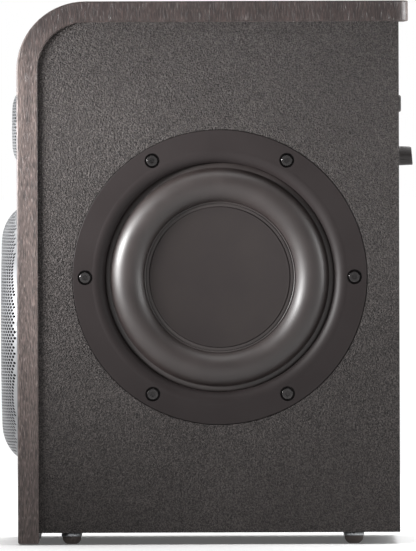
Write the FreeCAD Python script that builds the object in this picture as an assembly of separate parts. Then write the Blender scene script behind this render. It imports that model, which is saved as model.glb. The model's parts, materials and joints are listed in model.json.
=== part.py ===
"""Compact two-way active monitor loudspeaker with a passive radiator in each side.

Millimetres, +Z up. The origin is on the floor under the middle of the loudspeaker, the front
faces -Y and the controls face +Y. Depths are counted from the front face with depth().
"""
import FreeCAD
import Part
import math
import os
from FreeCAD import Placement, Rotation, Vector

# ---------------------------------------------------------------- driving dimensions
WIDTH = 160.0              # over the veneered shell
HEIGHT = 270.0             # floor to top
BACK_DEPTH = 189.8         # front face to the back of the cabinet
SHELL_DEPTH = 194.5        # front face to the rear end of the top board
SHELL_WALL = 10.4
SHELL_RADIUS = 34.4        # outside radius of the bend
SHELL_CLEARANCE = 0.7      # the shell's lower end above the floor
SHELL_REAR_ROUND = 6.0     # rounding of the top board's rear corners, seen from above
EDGE_ROUND = 0.8

PANEL_WALL = 12.0
PANEL_RECESS = 2.0         # side panels lie below the shell's edge
FOOT_HEIGHT = 6.0          # floor to the underside of the cabinet

RADIATOR_DEPTH = 100.6     # passive radiator's axis from the front face
RADIATOR_HEIGHT = 132.8
RADIATOR_RADIUS = 73.2
RADIATOR_OPENING = 57.0
RADIATOR_BOLT_CIRCLE = 133.8
RADIATOR_SCREWS = 6
RADIATOR_FLANGE = 3.5
DISC_RADIUS = 35.1
ROLL_OUTER = 53.8
ROLL_INNER = 37.4
ROLL_RISE = 5.3
RUBBER = 0.9

WOOFER_HEIGHT = 104.1
WOOFER_RIM_RADIUS = 66.0
WOOFER_RIM_WALL = 4.0
WOOFER_HOLE = 55.0         # radius of the baffle's opening
WOOFER_SCREW_CIRCLE = 116.0
WOOFER_SCREWS = 6
WOOFER_GRILLE_RADIUS = 62.3
WOOFER_GRILLE_RISE = 9.05
WOOFER_GRILLE_SHOULDER = 16.3  # width of the rounded part outside the shallow crown
WOOFER_GRILLE_SKIRT = 1.2  # height of the straight part at the foot
TWEETER_HEIGHT = 207.3
TWEETER_FACE_RADIUS = 24.0
TWEETER_FACE_WALL = 3.0
TWEETER_HOLE = 21.8
TWEETER_GRILLE_RADIUS = 17.4
TWEETER_GRILLE_RISE = 3.2
TWEETER_GRILLE_SHOULDER = 8.4
TWEETER_GRILLE_SKIRT = 0.3
GRILLE_KNEE = 0.927        # height of the shoulder's top, as a share of the rise
GRILLE_WALL = 0.7

KNOB_RISE = 7.4            # knob tip beyond the back of the cabinet
KNOB_RADIUS = 4.6
KNOB_HEIGHT = 192.4
KNOB_SPACING = 30.0
BUTTON_RADIUS = 4.3
BUTTON_RISE = 2.1
BUTTON_HEIGHT = 218.6
SWITCH_HEIGHT = 166.0
SWITCH_SPACING = 44.0

PLATE_WALL = 3.0
PLATE_HALF_WIDTH = 57.8
PLATE_BOTTOM = 24.0
PLATE_TOP = 238.0
BAY_HALF_WIDTH = 45.5      # the connector bay's clear opening
BAY_BOTTOM = 38.0
BAY_TOP = 108.0
BAY_DEPTH = 17.0           # plate's outer face to the bay's floor
BAY_WALL = 2.5
BAY_ROUND = 4.0
PLATE_ROUND = 5.0
PLATE_EDGE = 5.5           # plate's edge to its screws
PLATE_SCREW_ROWS = 4
PLATE_LANDING = 9.5        # width of the board the plate lies on
BRACE_BOTTOM = 200.0
BRACE_WALL = 16.0
BRACE_DEPTH = 90.0
BRACE_WIDTH = 20.0
PLATE_SCREW_SINK = 1.8     # seat of a screw head below the plate's face

FOOT_X = 58.0
FOOT_DEPTHS = (26.6, 167.0)
STUD_RADIUS = 3.0
INSERT_RADIUS = 4.5
INSERT_LENGTH = 11.0
MOUNT_SPACING = 70.0       # between the two threaded inserts for a stand or bracket
MOUNT_DEPTH = 97.0

GAP = 0.25                 # visible fitting gap
FIT = 0.05                 # running or assembly clearance
BREAK = 0.4                # broken edge of a moulded or turned part
SCREW_RADIUS = 1.5         # thread radius of all the small screws
SCREW_CLEARANCE = 1.75
BEND_SHARE = 0.45
THROUGH = 1.0              # how far a cutting tool runs past the face it opens

# ---------------------------------------------------------------- derived dimensions
FRONT_Y = -(BACK_DEPTH + KNOB_RISE - WOOFER_GRILLE_RISE) / 2
BACK_Y = FRONT_Y + BACK_DEPTH
SHELL_INNER_RADIUS = SHELL_RADIUS - SHELL_WALL
ARC_SHARE = 1 - math.sqrt(0.5)  # a quarter arc's middle lies this share of its radius inside the corner
CEILING = HEIGHT - SHELL_WALL
PANEL_OUTER_X = WIDTH / 2 - PANEL_RECESS
PANEL_INNER_X = PANEL_OUTER_X - PANEL_WALL
FLOOR_TOP = FOOT_HEIGHT + PANEL_WALL
PLATE_BACK_Y = BACK_Y - PLATE_WALL
BAY_FLOOR_Y = BACK_Y - BAY_DEPTH

UP = Vector(0, 0, 1)
FRONT = Vector(0, -1, 0)
BACK = Vector(0, 1, 0)
RIGHT = Vector(1, 0, 0)


def depth(distance):
    """Y of a plane that far behind the front face."""
    return FRONT_Y + distance


# ---------------------------------------------------------------- helpers
def box(x0, x1, y0, y1, z0, z1):
    return Part.makeBox(x1 - x0, y1 - y0, z1 - z0, Vector(x0, y0, z0))


def rod(start, direction, radius, length):
    return Part.makeCylinder(radius, length, start, direction)


def path_edges(points, to_vector):
    """Edges of a closed outline. A point is (a, b), or (a, b, mid_a, mid_b) when an arc leads to it."""
    edges = []
    last = to_vector(*points[-1][:2])
    for point in points:
        here = to_vector(*point[:2])
        if len(point) == 4:
            edges.append(Part.Arc(last, to_vector(*point[2:]), here).toShape())
        else:
            edges.append(Part.LineSegment(last, here).toShape())
        last = here
    return edges


def turned(points, centre=Vector(0, 0, 0), outward=UP):
    """Solid of revolution. Points are (radius, height), with the height along outward."""
    edges = path_edges(points, lambda radius, height: Vector(radius, 0, height))
    face = Part.Face(Part.Wire(edges))
    solid = face.revolve(Vector(0, 0, 0), UP, 360)
    solid.Placement = Placement(centre, Rotation(UP, outward))
    return solid


def ring(inner, outer, low, high, centre, outward):
    """Plain ring between two radii and two heights."""
    points = [(inner, low), (outer, low), (outer, high), (inner, high)]
    return turned(points, centre, outward)


def side_profile(points, x0, x1):
    """Outline in the (depth, z) plane, extruded from x0 to x1."""
    edges = path_edges(points, lambda distance, z: Vector(x0, depth(distance), z))
    return Part.Face(Part.Wire(edges)).extrude(Vector(x1 - x0, 0, 0))


def rounded_plate(half_width, z0, z1, y0, y1, radius):
    """Plate facing Y with rounded corners."""
    plate = box(-half_width, half_width, y0, y1, z0, z1)
    corners = [e for e in plate.Edges if abs(e.tangentAt(e.FirstParameter).y) > 0.99]
    return plate.makeFillet(radius, corners)


def on_circle(count, radius, centre, outward, first=0.0):
    """Points on a circle about outward, the first one at that angle from horizontal."""
    side = Vector(0, 1, 0) if abs(outward.x) > 0.5 else Vector(1, 0, 0)
    found = []
    for i in range(count):
        angle = math.radians(first + 360.0 * i / count)
        found.append(centre + side * (radius * math.cos(angle)) + UP * (radius * math.sin(angle)))
    return found


def cut_all(solid, tools):
    for tool in tools:
        solid = solid.cut(tool)
    return solid


def arc_between(start, end, rise):
    """Middle point of an arc from start to end that bulges upwards by rise."""
    return ((start[0] + end[0]) / 2, (start[1] + end[1]) / 2 + rise)


def crown(edge_radius, edge_height, top):
    """Middle point of an arc centred on the axis, between its top and its edge."""
    rise = top - edge_height
    sphere = (edge_radius ** 2 + rise ** 2) / (2 * rise)
    half_angle = math.atan2(edge_radius, sphere - rise) / 2
    return sphere * math.sin(half_angle), top - sphere + sphere * math.cos(half_angle)


def cap_screw(seat, outward, thread_radius, head_radius, head_height, length, key):
    """Socket screw: seat is the point under the head, outward points out of the head."""
    head = rod(seat, outward, head_radius, head_height)
    top = [e for e in head.Edges if e.Closed and e.Vertexes[0].Point.sub(seat).dot(outward) > head_height / 2]
    head = head.makeFillet(head_height * 0.2, top)
    shank = rod(seat, outward * -1, thread_radius, length)
    corner = key / math.sqrt(3)
    side = Vector(0, 0, 1) if abs(outward.z) < 0.5 else Vector(1, 0, 0)
    other = outward.cross(side)
    floor = seat + outward * (head_height * 0.4)
    corners = []
    for i in range(7):
        angle = math.radians(60 * i)
        corners.append(floor + side * (corner * math.cos(angle)) + other * (corner * math.sin(angle)))
    socket = Part.Face(Part.makePolygon(corners)).extrude(outward * head_height)
    return head.fuse(shank).cut(socket).removeSplitter()


def bend_path(points):
    """Straight runs joined by tangent arcs, each reaching BEND_SHARE along its shorter run."""
    edges = []
    last = points[0]
    for before, here, after in zip(points, points[1:], points[2:]):
        incoming = (here - before).normalize()
        outgoing = (after - here).normalize()
        trim = BEND_SHARE * min((here - before).Length, (after - here).Length)
        turn = incoming.getAngle(outgoing)
        radius = trim / math.tan(turn / 2)
        start = here - incoming * trim
        end = here + outgoing * trim
        bisector = (outgoing - incoming).normalize()
        middle = here + bisector * (radius / math.cos(turn / 2) - radius)
        edges.append(Part.LineSegment(last, start).toShape())
        edges.append(Part.Arc(start, middle, end).toShape())
        last = end
    edges.append(Part.LineSegment(last, points[-1]).toShape())
    return Part.Wire(edges)


def lead(points, radius):
    """Round cable along straight runs and tangent arcs."""
    path = bend_path(points)
    section = Part.Wire([Part.Circle(points[0], points[1] - points[0], radius).toShape()])
    return path.makePipeShell([section], True, False)


# ---------------------------------------------------------------- cabinet
def radiator_centre(side):
    return Vector(side * PANEL_OUTER_X, depth(RADIATOR_DEPTH), RADIATOR_HEIGHT)


WOOFER_CENTRE = Vector(0, FRONT_Y, WOOFER_HEIGHT)
TWEETER_CENTRE = Vector(0, FRONT_Y, TWEETER_HEIGHT)


def woofer_screw_points():
    return on_circle(WOOFER_SCREWS, WOOFER_SCREW_CIRCLE / 2, WOOFER_CENTRE, FRONT, 30)


def front_top_shell():
    """Bent veneered board: the front baffle, which runs over the top to the back."""
    bend = SHELL_RADIUS * ARC_SHARE
    inner_bend = SHELL_WALL + SHELL_INNER_RADIUS * ARC_SHARE
    points = [
        (0, SHELL_CLEARANCE),
        (0, HEIGHT - SHELL_RADIUS),
        (SHELL_RADIUS, HEIGHT, bend, HEIGHT - bend),
        (SHELL_DEPTH, HEIGHT),
        (SHELL_DEPTH, CEILING),
        (SHELL_RADIUS, CEILING),
        (SHELL_WALL, HEIGHT - SHELL_RADIUS, inner_bend, HEIGHT - inner_bend),
        (SHELL_WALL, SHELL_CLEARANCE),
    ]
    shell = side_profile(points, -WIDTH / 2, WIDTH / 2)
    rear = [
        e for e in shell.Edges
        if abs(e.tangentAt(e.FirstParameter).z) > 0.99 and e.Vertexes[0].Y > depth(SHELL_DEPTH) - 1
    ]
    shell = shell.makeFillet(SHELL_REAR_ROUND, rear)
    shell = shell.makeFillet(EDGE_ROUND, [e for e in shell.Edges if on_outer_skin(e)])
    cutters = [
        rod(WOOFER_CENTRE, BACK, WOOFER_HOLE, SHELL_WALL + THROUGH),
        rod(WOOFER_CENTRE, BACK, WOOFER_RIM_RADIUS + GAP, WOOFER_RIM_WALL),
        rod(TWEETER_CENTRE, BACK, TWEETER_HOLE, SHELL_WALL + THROUGH),
        rod(TWEETER_CENTRE, BACK, TWEETER_FACE_RADIUS + GAP, TWEETER_FACE_WALL),
    ]
    for point in woofer_screw_points():
        cutters.append(rod(point, BACK, SCREW_RADIUS + FIT, SHELL_WALL + THROUGH))
    return cut_all(shell, cutters)


def on_outer_skin(edge):
    """True for the edges of the shell's outer skin, and for the ends of both its legs."""
    low, high = edge.BoundBox.ZMin, edge.BoundBox.ZMax
    near, far = edge.BoundBox.YMin, edge.BoundBox.YMax
    lower_end = high < SHELL_CLEARANCE + 0.01
    rear_end = near > depth(SHELL_DEPTH - SHELL_REAR_ROUND) - 0.01 and high - low < 0.01
    front_skin = far < FRONT_Y + SHELL_RADIUS + 0.01 and near < FRONT_Y + 0.01 and high > SHELL_WALL
    top_skin = low > HEIGHT - 0.01
    return lower_end or rear_end or front_skin or top_skin


def side_panel(side):
    """Side of the cabinet, with the opening and the rebate for the passive radiator."""
    bend = SHELL_WALL + SHELL_INNER_RADIUS * ARC_SHARE
    points = [
        (SHELL_WALL, FOOT_HEIGHT),
        (SHELL_WALL, HEIGHT - SHELL_RADIUS),
        (SHELL_RADIUS, CEILING, bend, HEIGHT - bend),
        (BACK_DEPTH, CEILING),
        (BACK_DEPTH, FOOT_HEIGHT),
    ]
    panel = side_profile(points, side * PANEL_INNER_X, side * PANEL_OUTER_X)
    centre = radiator_centre(side)
    outward = Vector(side, 0, 0)
    inward = outward * -1
    cutters = [
        rod(centre, inward, RADIATOR_OPENING + 1, PANEL_WALL + THROUGH),
        rod(centre, inward, RADIATOR_RADIUS + GAP, RADIATOR_FLANGE),
    ]
    for point in on_circle(RADIATOR_SCREWS, RADIATOR_BOLT_CIRCLE / 2, centre, outward):
        cutters.append(rod(point, inward, SCREW_RADIUS + FIT, PANEL_WALL - 1))
    return cut_all(panel, cutters)


def foot_points():
    """Names of the feet and the point on the floor under each one."""
    found = {}
    for end, distance in zip(("front", "rear"), FOOT_DEPTHS):
        for name, side in (("right", 1), ("left", -1)):
            found[f"foot_{end}_{name}"] = Vector(side * FOOT_X, depth(distance), 0)
    return found


def mount_points():
    return [Vector(side * MOUNT_SPACING / 2, depth(MOUNT_DEPTH), 0) for side in (-1, 1)]


def bottom_panel():
    panel = box(-PANEL_INNER_X, PANEL_INNER_X, depth(SHELL_WALL), BACK_Y, FOOT_HEIGHT, FLOOR_TOP)
    for point in list(foot_points().values()) + mount_points():
        hole = rod(point + UP * FOOT_HEIGHT, UP, INSERT_RADIUS + FIT, INSERT_LENGTH)
        through = rod(point + UP * FOOT_HEIGHT, UP, STUD_RADIUS + 0.5, PANEL_WALL)
        panel = panel.cut(hole).cut(through)
    return panel


def threaded_inserts():
    """Brass inserts in the underside: four for the feet, two for a stand or a bracket."""
    inserts = []
    for point in list(foot_points().values()) + mount_points():
        inserts.append(ring(STUD_RADIUS + FIT, INSERT_RADIUS, 0, INSERT_LENGTH, point + UP * FOOT_HEIGHT, UP))
    return Part.makeCompound(inserts)


def plate_screw_points():
    """Where the amplifier plate is screwed to the back panel: two columns and one screw at each end."""
    column = PLATE_HALF_WIDTH - PLATE_EDGE
    low, high = PLATE_BOTTOM + PLATE_EDGE, PLATE_TOP - PLATE_EDGE
    step = (high - low) / (PLATE_SCREW_ROWS - 1)
    found = [Vector(0, BACK_Y, low), Vector(0, BACK_Y, high)]
    for row in range(PLATE_SCREW_ROWS):
        found += [Vector(side * column, BACK_Y, low + row * step) for side in (-1, 1)]
    return found


def back_panel():
    """Board behind the amplifier plate, rebated for it and open inside its screws."""
    panel = box(-PANEL_INNER_X, PANEL_INNER_X, BACK_Y - PANEL_WALL, BACK_Y, FLOOR_TOP, CEILING)
    inside, outside = BACK_Y - PANEL_WALL - THROUGH, BACK_Y + THROUGH
    opening = rounded_plate(PLATE_HALF_WIDTH - PLATE_LANDING, PLATE_BOTTOM + PLATE_LANDING,
                            PLATE_TOP - PLATE_LANDING, inside, outside, PLATE_ROUND)
    rebate = rounded_plate(PLATE_HALF_WIDTH + GAP, PLATE_BOTTOM - GAP, PLATE_TOP + GAP, PLATE_BACK_Y, outside,
                           PLATE_ROUND)
    pilots = [rod(p, FRONT, SCREW_RADIUS + FIT, PANEL_WALL - 1) for p in plate_screw_points()]
    return cut_all(panel, [opening, rebate] + pilots)


def cabinet_brace():
    """Spreader between the side panels, above the passive radiators."""
    near, far = depth(BRACE_DEPTH), depth(BRACE_DEPTH + BRACE_WIDTH)
    return box(-PANEL_INNER_X, PANEL_INNER_X, near, far, BRACE_BOTTOM, BRACE_BOTTOM + BRACE_WALL)


# ---------------------------------------------------------------- passive radiators
DISC_TOP = -3.9            # disc's face below the side panel's face
DISC_LAP = 0.6             # depth at which the rubber's foot lies on the disc
DISC_WALL = 2.4
WEIGHT_RADIUS = 20.0
WEIGHT_WALL = 6.0
WEIGHT_BOSS = 6.0
LEDGE = -5.2               # where the surround's outer lip is glued down
FLARE = 6.5                # width of the frame's rounded inner edge
FLARE_DROP = 3.0
BEAD = 0.8                 # width of the rubber bead round the disc
GROOVE = 1.5


def radiator_surround(centre, outward):
    """Rubber half roll from the frame's ledge to a bead round the disc."""
    foot = DISC_TOP + RUBBER
    lip = LEDGE + RUBBER
    low = DISC_TOP - DISC_LAP
    roll = arc_between((ROLL_OUTER, lip), (ROLL_INNER, foot), ROLL_RISE)
    bead = arc_between((ROLL_INNER, foot), (ROLL_INNER - BEAD, foot - 0.2), 0.35)
    under = arc_between((ROLL_INNER + RUBBER, low), (ROLL_OUTER - RUBBER, LEDGE), ROLL_RISE)
    return turned([
        (RADIATOR_OPENING - 0.1, LEDGE),
        (RADIATOR_OPENING - 0.1, lip),
        (ROLL_OUTER, lip),
        (ROLL_INNER, foot, *roll),
        (ROLL_INNER - BEAD, foot - 0.2, *bead),
        (DISC_RADIUS + GROOVE, low),
        (ROLL_INNER + RUBBER, low),
        (ROLL_OUTER - RUBBER, LEDGE, *under),
    ], centre, outward)


def radiator_disc(centre, outward):
    """Flat plate, wider behind where the rubber is glued to it."""
    low = DISC_TOP - DISC_LAP
    return turned([
        (0, DISC_TOP),
        (DISC_RADIUS - 0.3, DISC_TOP),
        (DISC_RADIUS, DISC_TOP - 0.3),
        (DISC_RADIUS, low),
        (ROLL_INNER + RUBBER, low),
        (ROLL_INNER + RUBBER, DISC_TOP - DISC_WALL),
        (0, DISC_TOP - DISC_WALL),
    ], centre, outward)


def radiator_weight(centre, outward):
    """Tuning weight behind the disc, with the boss of its screw."""
    top = DISC_TOP - DISC_WALL
    low = top - WEIGHT_WALL
    return turned([
        (0, top),
        (WEIGHT_RADIUS, top),
        (WEIGHT_RADIUS, low + 0.5),
        (WEIGHT_RADIUS - 0.5, low),
        (WEIGHT_BOSS, low),
        (WEIGHT_BOSS - 1, low - 1.5),
        (0, low - 1.5),
    ], centre, outward)


RADIATOR_SCREW_SINK = 2.5  # seat of a screw head below the frame's face
RADIATOR_HEAD_RADIUS = 2.75


def radiator_parts(name, side):
    centre = radiator_centre(side)
    outward = Vector(side, 0, 0)
    frame = turned([
        (RADIATOR_OPENING + 0.8, -RADIATOR_FLANGE),
        (RADIATOR_RADIUS, -RADIATOR_FLANGE),
        (RADIATOR_RADIUS, -0.35),
        (RADIATOR_RADIUS - 0.35, 0, RADIATOR_RADIUS - 0.1, -0.1),
        (RADIATOR_OPENING + FLARE, 0),
        (RADIATOR_OPENING, -FLARE_DROP, RADIATOR_OPENING + 0.36 * FLARE, -0.24 * FLARE_DROP),
        (RADIATOR_OPENING, LEDGE),
        (ROLL_OUTER - 0.4, LEDGE),
        (ROLL_OUTER - 0.4, LEDGE - 2.2),
        (RADIATOR_OPENING + 0.8, LEDGE - 2.2),
    ], centre, outward)
    screws = []
    for point in on_circle(RADIATOR_SCREWS, RADIATOR_BOLT_CIRCLE / 2, centre, outward):
        seat = point - outward * RADIATOR_SCREW_SINK
        well = rod(seat, outward, RADIATOR_HEAD_RADIUS + 0.95, RADIATOR_SCREW_SINK + THROUGH)
        hole = rod(point, outward * -1, SCREW_CLEARANCE, RADIATOR_FLANGE + THROUGH)
        frame = frame.cut(well).cut(hole)
        screws.append(cap_screw(seat, outward, SCREW_RADIUS, RADIATOR_HEAD_RADIUS, 2.2, 8.0, 2.5))
    return {
        f"{name}_radiator_frame": frame,
        f"{name}_radiator_surround": radiator_surround(centre, outward),
        f"{name}_radiator_disc": radiator_disc(centre, outward),
        f"{name}_radiator_weight": radiator_weight(centre, outward),
        f"{name}_radiator_screws": Part.makeCompound(screws),
    }


# ---------------------------------------------------------------- woofer
# Heights of the drivers' parts are counted outwards from the front face, so most are negative.
COIL_RADIUS = 12.6
COIL_FORMER = 0.3
COIL_WIRE = 0.5
COIL_TOP = -38.0
COIL_BOTTOM = -50.0
COIL_GAP = 1.1             # radial room between the coil and the steel
RIM_BORE = 53.0
LANDING_BORE = 50.5        # the surround is glued to the landing
LANDING = -2.4
BASKET_SHOULDER = 54.0     # outside radius just below the rim
BASKET_NECK = 34.0         # bore that the spider is glued into
BASKET_WALL = 3.5
BASKET_REAR = -36.0        # front of the basket's rear plate
BASKET_FLOOR_WALL = 3.0
BASKET_BORE = 16.0
BASKET_WINDOWS = 6
LUG_REACH = 46.0           # tip of the terminal lug above the woofer's axis
SPIDER_HEIGHT = -27.0
SPIDER_WALL = 0.6
SPIDER_WAVE = 1.1
SPIDER_WAVES = 4
TOP_PLATE_RADIUS = 36.0
TOP_PLATE_WALL = 5.0
MAGNET_RADIUS = 37.0
MAGNET_BORE = 18.0
MAGNET_WALL = 14.0
YOKE_WALL = 6.0
YOKE_CHAMFER = 1.5
POLE_BORE = 3.5
CONE_EDGE = 42.0
CONE_TOP = -2.2
CONE_BOTTOM = -24.0
CONE_WALL = 0.8
ROLL_FOOT = 51.0           # outer foot of the woofer's roll
ROLL_HEIGHT = 4.2
CAP_RADIUS = 16.6
CAP_TOP = -16.4
CAP_WALL = 0.6


def grille(radius, rise, shoulder, skirt, centre):
    """Domed metal grille: a short skirt, a rounded shoulder and a shallow crown."""
    wall = GRILLE_WALL
    knee = rise * GRILLE_KNEE
    edge = radius - shoulder
    outer_mid, outer_height = crown(shoulder, skirt, knee)
    inner_mid, inner_height = crown(shoulder - wall, skirt, knee - wall)
    return turned([
        (radius, 0),
        (radius, skirt),
        (edge, knee, edge + outer_mid, outer_height),
        (0, rise, *crown(edge, knee, rise)),
        (0, rise - wall),
        (edge, knee - wall, *crown(edge, knee - wall, rise - wall)),
        (radius - wall, skirt, edge + inner_mid, inner_height),
        (radius - wall, 0),
    ], centre, FRONT)


def basket_casting():
    """Mounting rim, cone of legs, spider landing and rear plate as one turned solid."""
    rim_low = -WOOFER_RIM_WALL
    ledge = SPIDER_HEIGHT - 1
    floor_low = BASKET_REAR - BASKET_FLOOR_WALL
    outer_neck = BASKET_NECK + BASKET_WALL + 1.5
    return turned([
        (WOOFER_RIM_RADIUS, rim_low),
        (WOOFER_RIM_RADIUS, -BREAK),
        (WOOFER_RIM_RADIUS - BREAK, 0),
        (RIM_BORE, 0),
        (RIM_BORE, LANDING),
        (LANDING_BORE, LANDING),
        (LANDING_BORE, rim_low - 1),
        (BASKET_NECK + 2, SPIDER_HEIGHT + 2),
        (BASKET_NECK, SPIDER_HEIGHT + 2),
        (BASKET_NECK, ledge),
        (BASKET_NECK + 1.5, BASKET_REAR),
        (BASKET_BORE, BASKET_REAR),
        (BASKET_BORE, floor_low),
        (outer_neck, floor_low),
        (outer_neck, ledge),
        (BASKET_SHOULDER, rim_low - 1.5),
        (BASKET_SHOULDER, rim_low),
    ], WOOFER_CENTRE, FRONT)


def woofer_basket():
    """Cast frame with two rows of windows between its legs and a lug for the terminals."""
    basket = basket_casting()
    window = box(-7, 7, depth(8), depth(23), WOOFER_HEIGHT + 30, WOOFER_HEIGHT + 60)
    vent = box(-6, 6, depth(29.5), depth(35), WOOFER_HEIGHT + 30, WOOFER_HEIGHT + 45)
    for i in range(BASKET_WINDOWS):
        for cutter in (window, vent):
            turned_cutter = cutter.copy()
            turned_cutter.rotate(WOOFER_CENTRE, BACK, 360 / BASKET_WINDOWS * (i + 0.5))
            basket = basket.cut(turned_cutter)
    rear = -BASKET_REAR
    lug = box(-5, 5, depth(rear), depth(rear + BASKET_FLOOR_WALL), WOOFER_HEIGHT + BASKET_NECK,
              WOOFER_HEIGHT + LUG_REACH)
    basket = basket.fuse(lug)
    for point in woofer_screw_points():
        basket = basket.cut(rod(point, BACK, SCREW_CLEARANCE, WOOFER_RIM_WALL + THROUGH))
    return basket.removeSplitter()


def woofer_motor():
    """Top plate, magnet and yoke, stacked behind the basket."""
    plate_front = BASKET_REAR - BASKET_FLOOR_WALL
    magnet_front = plate_front - TOP_PLATE_WALL
    yoke_front = magnet_front - MAGNET_WALL
    yoke_rear = yoke_front - YOKE_WALL
    pole = COIL_RADIUS - COIL_GAP
    pole_front = BASKET_REAR - 1
    centre = WOOFER_CENTRE
    gap_bore = COIL_RADIUS + COIL_GAP
    return {
        "woofer_top_plate": ring(gap_bore, TOP_PLATE_RADIUS, magnet_front, plate_front, centre, FRONT),
        "woofer_magnet": ring(MAGNET_BORE, MAGNET_RADIUS, yoke_front, magnet_front, centre, FRONT),
        "woofer_yoke": turned([
            (POLE_BORE, yoke_rear),
            (TOP_PLATE_RADIUS - YOKE_CHAMFER, yoke_rear),
            (TOP_PLATE_RADIUS, yoke_rear + YOKE_CHAMFER),
            (TOP_PLATE_RADIUS, yoke_front),
            (pole + 3, yoke_front),
            (pole, yoke_front + 3),
            (pole, pole_front),
            (POLE_BORE, pole_front),
        ], centre, FRONT),
    }


def spider():
    """Corrugated centring ring between the coil former and the basket."""
    span = (BASKET_NECK - COIL_RADIUS) / SPIDER_WAVES
    low = SPIDER_HEIGHT - SPIDER_WALL
    upper = [(BASKET_NECK, SPIDER_HEIGHT)]
    lower = [(COIL_RADIUS, low)]
    for i in range(SPIDER_WAVES):
        start = BASKET_NECK - span * i
        wave = SPIDER_WAVE if i % 2 == 0 else -SPIDER_WAVE
        upper.append((start - span, SPIDER_HEIGHT, start - span / 2, SPIDER_HEIGHT + wave))
        lower.insert(1, (start, low, start - span / 2, low + wave))
    return turned(upper + lower, WOOFER_CENTRE, FRONT)


def cone_height(radius):
    """Height of the cone's front skin at a radius."""
    slope = (CONE_TOP - CONE_BOTTOM) / (CONE_EDGE - COIL_RADIUS - BREAK)
    return CONE_TOP - (CONE_EDGE - radius) * slope


def woofer_cone():
    neck = COIL_RADIUS + BREAK
    return turned([
        (CONE_EDGE, CONE_TOP - CONE_WALL),
        (neck, CONE_BOTTOM - CONE_WALL),
        (COIL_RADIUS, CONE_BOTTOM - CONE_WALL),
        (COIL_RADIUS, CONE_BOTTOM),
        (neck, CONE_BOTTOM),
        (CONE_EDGE, CONE_TOP),
    ], WOOFER_CENTRE, FRONT)


def woofer_surround():
    """Rubber roll from the basket's landing to the cone's edge."""
    wall = CONE_WALL
    outer = (ROLL_FOOT, LANDING + wall)
    inner = (CONE_EDGE + 0.6, CONE_TOP + wall)
    outer_low = (ROLL_FOOT - 0.6, LANDING)
    inner_low = (CONE_EDGE, CONE_TOP)
    return turned([
        (RIM_BORE - 0.1, LANDING),
        (RIM_BORE - 0.1, LANDING + wall),
        outer,
        (*inner, *arc_between(outer, inner, ROLL_HEIGHT)),
        (CONE_EDGE - 1.8, CONE_TOP),
        inner_low,
        (*outer_low, *arc_between(inner_low, outer_low, ROLL_HEIGHT - 0.2)),
    ], WOOFER_CENTRE, FRONT)


def woofer_dust_cap():
    foot = cone_height(CAP_RADIUS)
    inner_radius = CAP_RADIUS - 1
    inner_foot = cone_height(inner_radius)
    inner_top = CAP_TOP - CAP_WALL
    return turned([
        (CAP_RADIUS, foot),
        (0, CAP_TOP, *crown(CAP_RADIUS, foot, CAP_TOP)),
        (0, inner_top),
        (inner_radius, inner_foot, *crown(inner_radius, inner_foot, inner_top)),
    ], WOOFER_CENTRE, FRONT)


def woofer_voice_coil():
    """Foil former from the cone's neck into the motor, with the wire at its rear end."""
    inner, wire = COIL_RADIUS - COIL_FORMER, COIL_RADIUS + COIL_WIRE
    former_top = CAP_TOP - 4.5
    return turned([
        (inner, COIL_BOTTOM),
        (wire, COIL_BOTTOM),
        (wire, COIL_TOP),
        (COIL_RADIUS, COIL_TOP),
        (COIL_RADIUS, former_top),
        (inner, former_top),
    ], WOOFER_CENTRE, FRONT)


def woofer_parts():
    screws = [cap_screw(p, FRONT, SCREW_RADIUS, 2.75, 1.6, 9.0, 2.0) for p in woofer_screw_points()]
    parts = {
        "woofer_basket": woofer_basket(),
        "woofer_spider": spider(),
        "woofer_cone": woofer_cone(),
        "woofer_surround": woofer_surround(),
        "woofer_dust_cap": woofer_dust_cap(),
        "woofer_voice_coil": woofer_voice_coil(),
        "woofer_screws": Part.makeCompound(screws),
        "woofer_grille": grille(WOOFER_GRILLE_RADIUS, WOOFER_GRILLE_RISE, WOOFER_GRILLE_SHOULDER,
                                WOOFER_GRILLE_SKIRT, WOOFER_CENTRE),
    }
    parts.update(woofer_motor())
    return parts


# ---------------------------------------------------------------- tweeter
DOME_RADIUS = 9.4
DOME_TOP = -1.4
DOME_FOOT = -4.0
CLOTH = 0.4
DOME_SEAM = 10.6           # where dome, roll and coil former meet
ROLL_LAND = 14.9           # where the tweeter's roll ends on its glued rim
FACE_BORE = 15.6
SUSPENSION_RADIUS = 16.4
TWEETER_COIL_INNER = 9.6
TWEETER_COIL_OUTER = 10.2
TWEETER_COIL_BOTTOM = -9.5
TWEETER_MOTOR_RADIUS = 20.0
TWEETER_MOTOR_LENGTH = 14.0
TWEETER_GAP_DEPTH = 7.0
POLE_RADIUS = 9.2
CUP_RADIUS = 21.6
CUP_WALL = 1.5
CUP_REAR = -27.0


def tweeter_faceplate():
    """Face ring with a rounded mouth round the dome."""
    low = -TWEETER_FACE_WALL
    radius = TWEETER_FACE_RADIUS
    return turned([
        (radius, low),
        (radius, -BREAK),
        (radius - BREAK, 0),
        (FACE_BORE + 1, 0),
        (FACE_BORE, -1.7, FACE_BORE + 0.25, -0.5),
        (FACE_BORE, low),
    ], TWEETER_CENTRE, FRONT)


def tweeter_diaphragm():
    """Cloth dome with a flat seam that the coil and the roll are glued to."""
    seam_low = DOME_FOOT - CLOTH
    inner = DOME_RADIUS - 0.2
    return turned([
        (DOME_SEAM, seam_low),
        (DOME_SEAM, DOME_FOOT),
        (DOME_RADIUS, DOME_FOOT),
        (0, DOME_TOP, *crown(DOME_RADIUS, DOME_FOOT, DOME_TOP)),
        (0, DOME_TOP - CLOTH),
        (inner, seam_low, *crown(inner, seam_low, DOME_TOP - CLOTH)),
    ], TWEETER_CENTRE, FRONT)


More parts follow.
